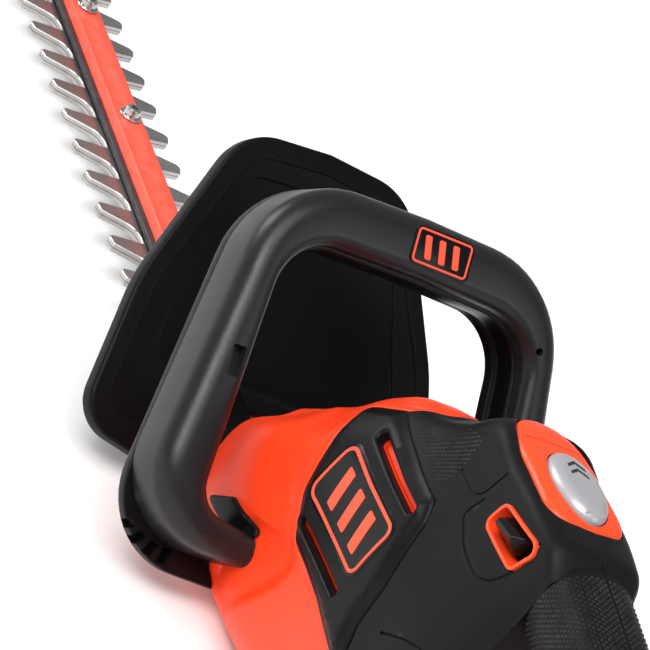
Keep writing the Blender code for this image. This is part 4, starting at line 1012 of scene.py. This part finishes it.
def make_guard():
    """Leaning dished plate: rounded rim, raised border, stepped inner panel and screw bosses."""
    outline = symmetric([(15, 30, 2), (15, -14, 3), (89, 3, 18), (78, 72, 90), (45, 149.5, 30),
                         (0, 153, 0)], 14)
    plate = prism("guard", outline, 0.0, 9.0, GUARD, edge=1.9, edges="both", steps=4)
    hollow = symmetric([(20, 36, 3), (20, -7, 3), (82, 9, 12), (71, 72, 90), (39, 141.5, 22),
                        (0, 146, 0)], 10)
    cut(plate, prism("hollow", hollow, 3.4, 12.0, GUARD))
    border = symmetric([(24, 30, 4), (24, 6, 4), (79, 10, 10), (69.5, 72, 90), (38, 140, 20),
                        (0, 143.5, 0)], 10)
    cut(plate, prism("border", border, -3.0, 0.8, GUARD, edge=0.7, edges="high", steps=3))
    panel = symmetric([(36, 40, 8), (62, 32, 10), (59, 62, 30), (40, 131, 15), (0, 134, 0)], 10)
    cut(plate, prism("panel", panel, -3.0, 1.9, GUARD, edge=1.0, edges="high", steps=3))
    for y in GUARD_SCREW_YS:
        join(plate, rod("boss", 6.0, (-141.4, y, GUARD_SCREW_Z), (-124.0, y, GUARD_SCREW_Z)))
    for name, radius, start, end in (("hole", 2.3, -145, -110.0), ("seat", 4.6, -126, -108.0)):
        cut(plate, *[rod(name, radius, (start, y, GUARD_SCREW_Z), (end, y, GUARD_SCREW_Z))
                     for y in GUARD_SCREW_YS])
    place(plate, "hand_guard", GUARD_BLACK, replaces=["blade_guard"])
    bracket = rounded([(-141.5, 41.5, 1), (-141.5, 57, 5), (-102.5, 58, 1), (-116, 42.5, 1)], 4)
    feet = [side_prism("bracket", bracket, side * 15.6, side * 33.0, edge=0.8) for side in (1, -1)]
    place(gather("feet", feet), "hand_guard_feet", GUARD_BLACK)


# ---------------------------------------------------------------- bail handle

BAIL_REAR_DEPTH = 28.0
BAIL_DEPTH = 37.0
BAIL_BADGE = box_outline(-21, 167.5, 9, 184.5, 3.0)


def bail_edges(foot, reach):
    """Paired inner and outer edges of the loop, from the left foot over the top to the right foot."""
    inner = open_path([(reach, foot + 13, 0), (70, foot + 18, 14), (63, 162, 26), (0, 163.5, 0)], 14, 12)
    outer = open_path([(reach, foot, 0), (98, foot + 2, 34), (73.5, 187.5, 46), (0, 189.5, 0)], 14, 12)
    return [edge + [(-u, v) for u, v in reversed(edge[:-1])] for edge in (inner, outer)]


def band(name, edges, low, high, radii):
    """Bar between paired edges, its four long edges rounded: inner low, outer low, outer high, inner high."""
    rings = []
    for (iu, iv), (ou, ov) in zip(*edges):
        across = Vector((ou - iu, ov - iv))
        width = across.length
        across /= width
        fit = min(1.0, 0.9 * width / max(radii[0] + radii[1], radii[2] + radii[3]))
        shape = rounded([(0, low, radii[0] * fit), (width, low, radii[1] * fit),
                         (width, high, radii[2] * fit), (0, high, radii[3] * fit)], 7)
        rings.append([BAIL.at(iu + across.x * s, iv + across.y * s, w) for s, w in shape])
    return loft(name, rings)


def lever_outline(grow=0.0, lift=0.0):
    inner = [(67.6, 82, 1.6), (61.6, 160.6, 24), (0, 162.2, 0)]
    outer = [(74.4, 82, 1.6), (70.0, 168, 28), (0, 169.5, 0)]
    outer = [(u + grow, v + grow + (lift if v > 100 else 0), r) for u, v, r in outer]
    outer[-1] = (0, outer[-1][1], 0)
    outer[0] = (outer[0][0], 82 - grow, 1.6)
    inner = [(u - 3 * grow, v - 3 * grow, r) for u, v, r in inner]
    inner[-1] = (0, inner[-1][1], 0)
    inner[0] = (inner[0][0], 82 - grow, 1.6)
    flip = [(-u, v, r) for u, v, r in reversed(outer[:-1])]
    back = [(-u, v, r) for u, v, r in inner[:-1]]
    return rounded(outer + flip + back + [inner[-1]] + inner[:-1][::-1], 12)


def rib_cutters():
    """Slanted recesses between the ribs, at the front shell's lower outer corners."""
    made = []
    for side in (1, -1):
        for turn in (-86, -72, -58, -44, -30):
            a = math.radians(turn)
            out = Vector((math.cos(a), math.sin(a)))
            tangent = Vector((-out.y, out.x))
            half = max(1.1, -5.0 * math.sin(a) - 1.5)
            centre = Vector((64.0, 51.0)) + out * (34.0 + 5.0 * math.sin(a))
            corners = []
            for r, t in ((-half, -2.6), (half, -1.2), (half, 3.0), (-half, 1.6)):
                spot = centre + out * r + tangent * t
                corners.append((spot.x * side, spot.y))
            made.append(prism("recess", corners, BAIL_REAR_DEPTH - 1.0, BAIL_REAR_DEPTH + 5.0, BAIL))
    return made


def make_bail():
    rear = band("rear", bail_edges(25, 38), 0.0, BAIL_REAR_DEPTH, (6.5, 11.0, 0.8, 0.8))
    front = band("front", bail_edges(15, 33), BAIL_REAR_DEPTH + GAP, BAIL_DEPTH, (0.8, 0.8, 5.0, 4.0))
    clearance = hull("clearance", 0.4)
    room = block("room", (-270, -30, -5), (-150, 30, 70))
    for shell in (rear, front):
        cut(shell, copy_of(clearance, "clear"))
        cut(shell, copy_of(room, "room"))
    for used in (clearance, room):
        bpy.data.objects.remove(used, do_unlink=True)
    cut(rear, prism("groove", lever_outline(0.6, 4.4), 10.5, 24.5, BAIL))
    cut(rear, prism("window", box_outline(71, 97, 77, 110, 1.0, 3), -1, 5.0, BAIL),
        prism("eye", circle(-66, 152, 1.7, 20), -1, 6, BAIL),
        prism("badge_seat", box_outline(-21.3, 167.2, 9.3, 184.8, 3.3), -1, 0.5, BAIL))
    for side in (1, -1):
        centre = BAIL.at(side * 30.0, 0, 17.5)
        cut(rear, prism("pocket", circle(0, 0, 4.0, 16), 160, 184.5, Plane(centre, BAIL.u, -BAIL.w)))
    cut(front, *rib_cutters())
    place(rear, "bail_shell_rear", CHARCOAL, replaces=["bail_rear_shell"])
    place(front, "bail_shell_front", COVER_BLACK, replaces=["bail_front_shell"])
    lever = prism("lever", lever_outline(), 11.0, 24.0, BAIL, edge=1.4, steps=4)
    place(lever, "bail_switch_lever", GLOSS_BLACK, body="bail_lever", replaces=["bail_lever"])
    place(prism("plate", BAIL_BADGE, -0.2, 0.45, BAIL, edge=0.2, edges="low", steps=2), "bail_badge_panel",
          GLOSS_BLACK, replaces=["bail_badge"])
    make_bail_marks(offset(BAIL_BADGE, -1.0))


def make_bail_marks(outline):
    outer = prism("frame", outline, -0.45, -0.1, BAIL)
    cut(outer, prism("hole", offset(outline, -0.9), -1.0, 0.5, BAIL))
    bars = [prism("bar", bar, -0.45, -0.1, BAIL) for bar in slanted_bars(-15.5, 6, 171, 181, 3, 2.0)]
    place(gather("marks", [outer] + bars), "bail_badge_frame", MARKING)


def make_flap():
    """Dark lug of the bail's foot, which lies on the orange side."""
    outline = rounded([(-181, 50, 1.5), (-198, 63, 1.5), (-222, 64, 2.0), (-210, 52, 2.0)], 5)
    for word, side in SIDES:
        flap = skin("flap", [outline], 0.3, 2.4, 0.8, side, 2.0, steps=3)
        place(flap, f"bail_foot_lug_{word}", COVER_BLACK)


# ---------------------------------------------------------------- blade

BOLT_XS = [49.0 + 106.25 * k for k in range(5)]
BLADE_THICKNESS = 2.2


def tooth(x, side):
    """One tooth with curved gullets, from its rear root to its front root."""
    spine = 13.0
    tip = 33.0
    path = [(-17.5, spine, 0), (-9.5, spine + 1.8, 7.0), (-4.6, tip - 1.4, 1.0), (0.8, tip, 1.6),
            (3.4, tip - 1.8, 1.4), (5.8, spine + 0.2, 1.5)]
    line = [path[0][:2]]
    for i in range(1, len(path) - 1):
        line += arc_points(path[i - 1][:2], path[i][:2], path[i + 1][:2], path[i][2], 5)
    line.append(path[-1][:2])
    return [(x + dx, side * y) for dx, y in line]


def blade_outline():
    ring = 25.6
    left = [(-200 + ring + 6, 13.0)]
    right = [(-200 + ring + 6, -13.0)]
    for k in range(20):
        x = -41.0 + 28.0 * k
        left += tooth(x, 1)
        right += tooth(x - 14.0, -1)
    left += [(503.0, 13.0), (517.3, 6.0)]
    right += [(503.0, -13.0), (517.3, -6.0)]
    arc = 4
    ring_shape = box_outline(-200 - ring, -ring, -200 + ring, ring, 6.0, arc)
    front_left = 2 * (arc + 1)
    return right + left[::-1] + ring_shape[front_left:] + ring_shape[:front_left]


def make_blades():
    for name, low, body, edges in (("blade_lower", 27.65, "blade_lower", "low"),
                                   ("blade_upper", 30.15, "blade_upper", "high")):
        high = low + BLADE_THICKNESS
        bevel = 0.5
        levels = [(low, 0.0), (high - bevel, 0.0), (high, -bevel)] if edges == "high" else \
            [(low, -bevel), (low + bevel, 0.0), (high, 0.0)]
        outline = blade_outline()
        blade = loft("blade", [[(x, y, z) for x, y in (offset(outline, grow) if grow else outline)]
                               for z, grow in levels])
        cutters = [prism("opening", box_outline(-220.6, -20.6, -179.4, 20.6, 6.0), low - 1, high + 1)]
        cutters += [prism("slot", box_outline(x - 13, -4.2, x + 13, 4.2, 3.0), low - 1, high + 1)
                    for x in BOLT_XS]
        cut(blade, *cutters)
        place(blade, f"{name}_ground", STEEL, body=body, replaces=[name], angle=20.0)


def make_bar():
    """Dark guide rail, painted bar folded from sheet, and the bolts through them."""
    end = BOLT_XS[-1] + 18
    rail_shape = rounded([(-142, -11.5, 2), (end, -11.5, 8), (end, 11.5, 8), (-142, 11.5, 2)], 8)
    rail = prism("rail", rail_shape, 32.6, 35.8, edge=0.7, steps=3)
    bar_shape = rounded([(-110, -8.5, 2), (end - 2, -8.5, 8), (end - 2, 8.5, 8), (-110, 8.5, 2)], 8)
    bar = prism("bar", bar_shape, 36.1, 42.1, edge=1.2, edges="high", steps=4)
    cut(bar, block("channel", (-115, -6.7, 34.8), (end - 6, 6.7, 40.1)))
    holes = [turned("hole", [(3.3, 30), (3.3, 44)], (x, 0)) for x in BOLT_XS]
    cut(rail, *[copy_of(h, "hole") for h in holes])
    cut(bar, *holes)
    place(rail, "rail_bar", RAIL_DARK, replaces=["guide_rail"])
    place(bar, "painted_blade_bar", BAR_PAINT, replaces=["blade_bar"])
    for k, x in enumerate(BOLT_XS):
        top = 42.1
        bolt = turned("bolt", [(3.0, 22.8), (3.0, top + 0.2), (5.8, top + 0.2), (6.0, top + 0.5),
                               (6.0, top + 1.0), (5.8, top + 1.3), (4.1, top + 1.4), (4.1, top + 4.6),
                               (3.8, top + 5.2), (3.3, top + 5.5)], (x, 0))
        cut(bolt, prism("socket", circle(x, 0, 2.1, 6), top + 2.6, top + 7))
        place(bolt, f"bar_bolt_{k + 1}", BRIGHT_STEEL, replaces=[f"blade_bolt_{k + 1}"])


# ---------------------------------------------------------------- gear case, battery

def make_gear_cover():
    cover = prism("cover", case_outline(26), REST_Z, 25.7, edge=4.0, edges="low", steps=6)
    cut(cover, prism("room", case_outline(23.2, 3.0), REST_Z + 4.0, 27.0))
    ribs = [prism("rib", box_outline(x - 1.0, -17, x + 1.0, 17, 0.9, 3), REST_Z - 1, REST_Z + 0.7) for x in
            (-245, -237, -173, -165)]
    cut(cover, *ribs)
    spots = [(x, y) for x in (-254, -156) for y in (-11, 11)]
    cut(cover, *[turned("sink", [(3.4, REST_Z - 2), (3.4, REST_Z + 1.6)], spot) for spot in spots])
    place(cover, "gear_cover_cast", CAST, replaces=["gear_case_cover"])
    screws = []
    for spot in spots:
        head = turned("head", [(2.9, REST_Z + 0.3), (2.9, REST_Z + 2.2)], spot)
        cut(head, prism("hex", circle(*spot, 1.4, 6), REST_Z - 1, REST_Z + 1.4))
        screws.append(head)
    place(gather("screws", screws), "gear_cover_screws", BRIGHT_STEEL)


def make_battery():
    shape = rounded([(-38, REST_Z, 5), (38, REST_Z, 5), (38, 44, 7), (-38, 44, 7)], 7)
    pack = prism("pack", shape, -515, -404, ACROSS, edge=2.5, steps=4)
    join(pack, block("neck", (-494, -20, 43), (-407, 20, 48)), block("head", (-494, -26, 47), (-407, 26, 51)))
    cut(pack, block("room", (-499.2, -35.2, 14.8), (-407.3, 35.2, 35.0)))
    cut(pack, *[block("contact", (-412, y - 1.2, 20.0), (-400, y + 1.2, 36.0)) for y in (-9, 0, 9)])
    cut(pack, block("latch_well", (-513, -13.5, 32.0), (-497, 13.5, 60.0)))
    cut(pack, block("grip_groove", (-520, -13.5, 36.0), (-512, 13.5, 60.0)))
    grooves = []
    for side in (1, -1):
        for k in range(5):
            x = -496 + 6 * k
            near, far = sorted((side * 37.2, side * 40))
            grooves.append(block("groove", (x, near, 20), (x + 2.4, far, 36)))
    for x in (-440, -420):
        grooves.append(block("seam", (x, -25, REST_Z - 1), (x + 2, 25, REST_Z + 0.6)))
    cut(pack, *grooves)
    place(pack, "battery_housing", CHARCOAL, body="battery", replaces=["battery_case"])
    latch = block("latch", (-511.5, -12.5, 40.0), (-498.5, 12.5, 50.5), 1.5, 1.2)
    join(latch, block("tab", (-514.5, -12.5, 40.0), (-509, 12.5, 43.6), 1.0, 0.6))
    ribs = [block("rib", (-508.5 + 3 * k, -9, 49.5), (-507.3 + 3 * k, 9, 51.0), 0.5) for k in range(3)]
    join(latch, *ribs)
    place(latch, "battery_release", CAP_ORANGE, body="battery_latch", replaces=["battery_latch"])


# ---------------------------------------------------------------- stage

WORLD_STRENGTH = 0.34
SUN_STRENGTH = 2.1
SUN_SPREAD = math.radians(50.0)
SUN_AIM = (0.35, -0.45, -1.0)
LAMP_AIM = (-0.2, 0, 0.1)
LAMPS = (("key", (-0.9, 1.5, 1.5), 22.0, 0.9), ("rim", (1.3, 1.2, 0.9), 16.0, 0.8),
         ("fill", (-1.6, -0.9, 1.0), 6.0, 1.0))
CAMERA_BACK = (-0.7757, 0.4943, 0.3924)
CAMERA_RIGHT = (-0.252, -0.8126, 0.5256)
CAMERA_SPOT = (-1.2742, 0.7466, 0.6955 - REST_Z * MM)
CAMERA_LENS = 193.8


def make_stage():
    mesh = bpy.data.meshes.new("floor")
    size = 20.0
    corners = [(-size, -size, 0), (size, -size, 0), (size, size, 0), (-size, size, 0)]
    mesh.from_pydata(corners, [], [(0, 1, 2, 3)])
    floor = bpy.data.objects.new("floor", mesh)
    bpy.context.scene.collection.objects.link(floor)
    mesh.materials.append(finish_of("pale_floor", (0.93, 0.93, 0.93), 0.8, mottle=0.01, grain=0.02, edge_wear_and_highlight=0.0))
    world = bpy.data.worlds.new("studio")
    bpy.context.scene.world = world
    world.use_nodes = True
    background = world.node_tree.nodes["Background"]
    background.inputs["Color"].default_value = (1, 1, 1, 1)
    background.inputs["Strength"].default_value = WORLD_STRENGTH
    sun = bpy.data.lights.new("sky_light", "SUN")
    sun.energy = SUN_STRENGTH
    sun.angle = SUN_SPREAD
    sky = bpy.data.objects.new("sky_light", sun)
    sky.rotation_euler = Vector(SUN_AIM).to_track_quat("-Z", "Y").to_euler()
    bpy.context.scene.collection.objects.link(sky)
    for name, spot, energy, size in LAMPS:
        lamp = bpy.data.lights.new(name, "AREA")
        lamp.energy = energy
        lamp.size = size
        light = bpy.data.objects.new(name, lamp)
        light.location = spot
        light.rotation_euler = (Vector(LAMP_AIM) - light.location).to_track_quat("-Z", "Y").to_euler()
        bpy.context.scene.collection.objects.link(light)
    bpy.context.scene.view_settings.view_transform = "Standard"


def make_camera():
    camera = bpy.data.objects.new("camera", bpy.data.cameras.new("camera"))
    bpy.context.scene.collection.objects.link(camera)
    back = Vector(CAMERA_BACK).normalized()
    right = Vector(CAMERA_RIGHT)
    right = (right - back * right.dot(back)).normalized()
    turn = Matrix((right, back.cross(right), back)).transposed().to_4x4()
    camera.matrix_world = Matrix.Translation(CAMERA_SPOT) @ turn
    camera.data.lens = CAMERA_LENS
    camera.data.sensor_width = 36
    camera.data.clip_end = 50
    bpy.context.scene.camera = camera


make_camera()
make_stage()
dress_cad_nodes()
make_housing()
make_cover()
make_side_badges()
make_grips()
make_knurl()
make_cap()
make_button()
make_lock_off()
make_trigger()
make_guard()
make_bail()
make_flap()
make_blades()
make_bar()
make_gear_cover()
make_battery()
bpy.data.objects.remove(SURFACE, do_unlink=True)
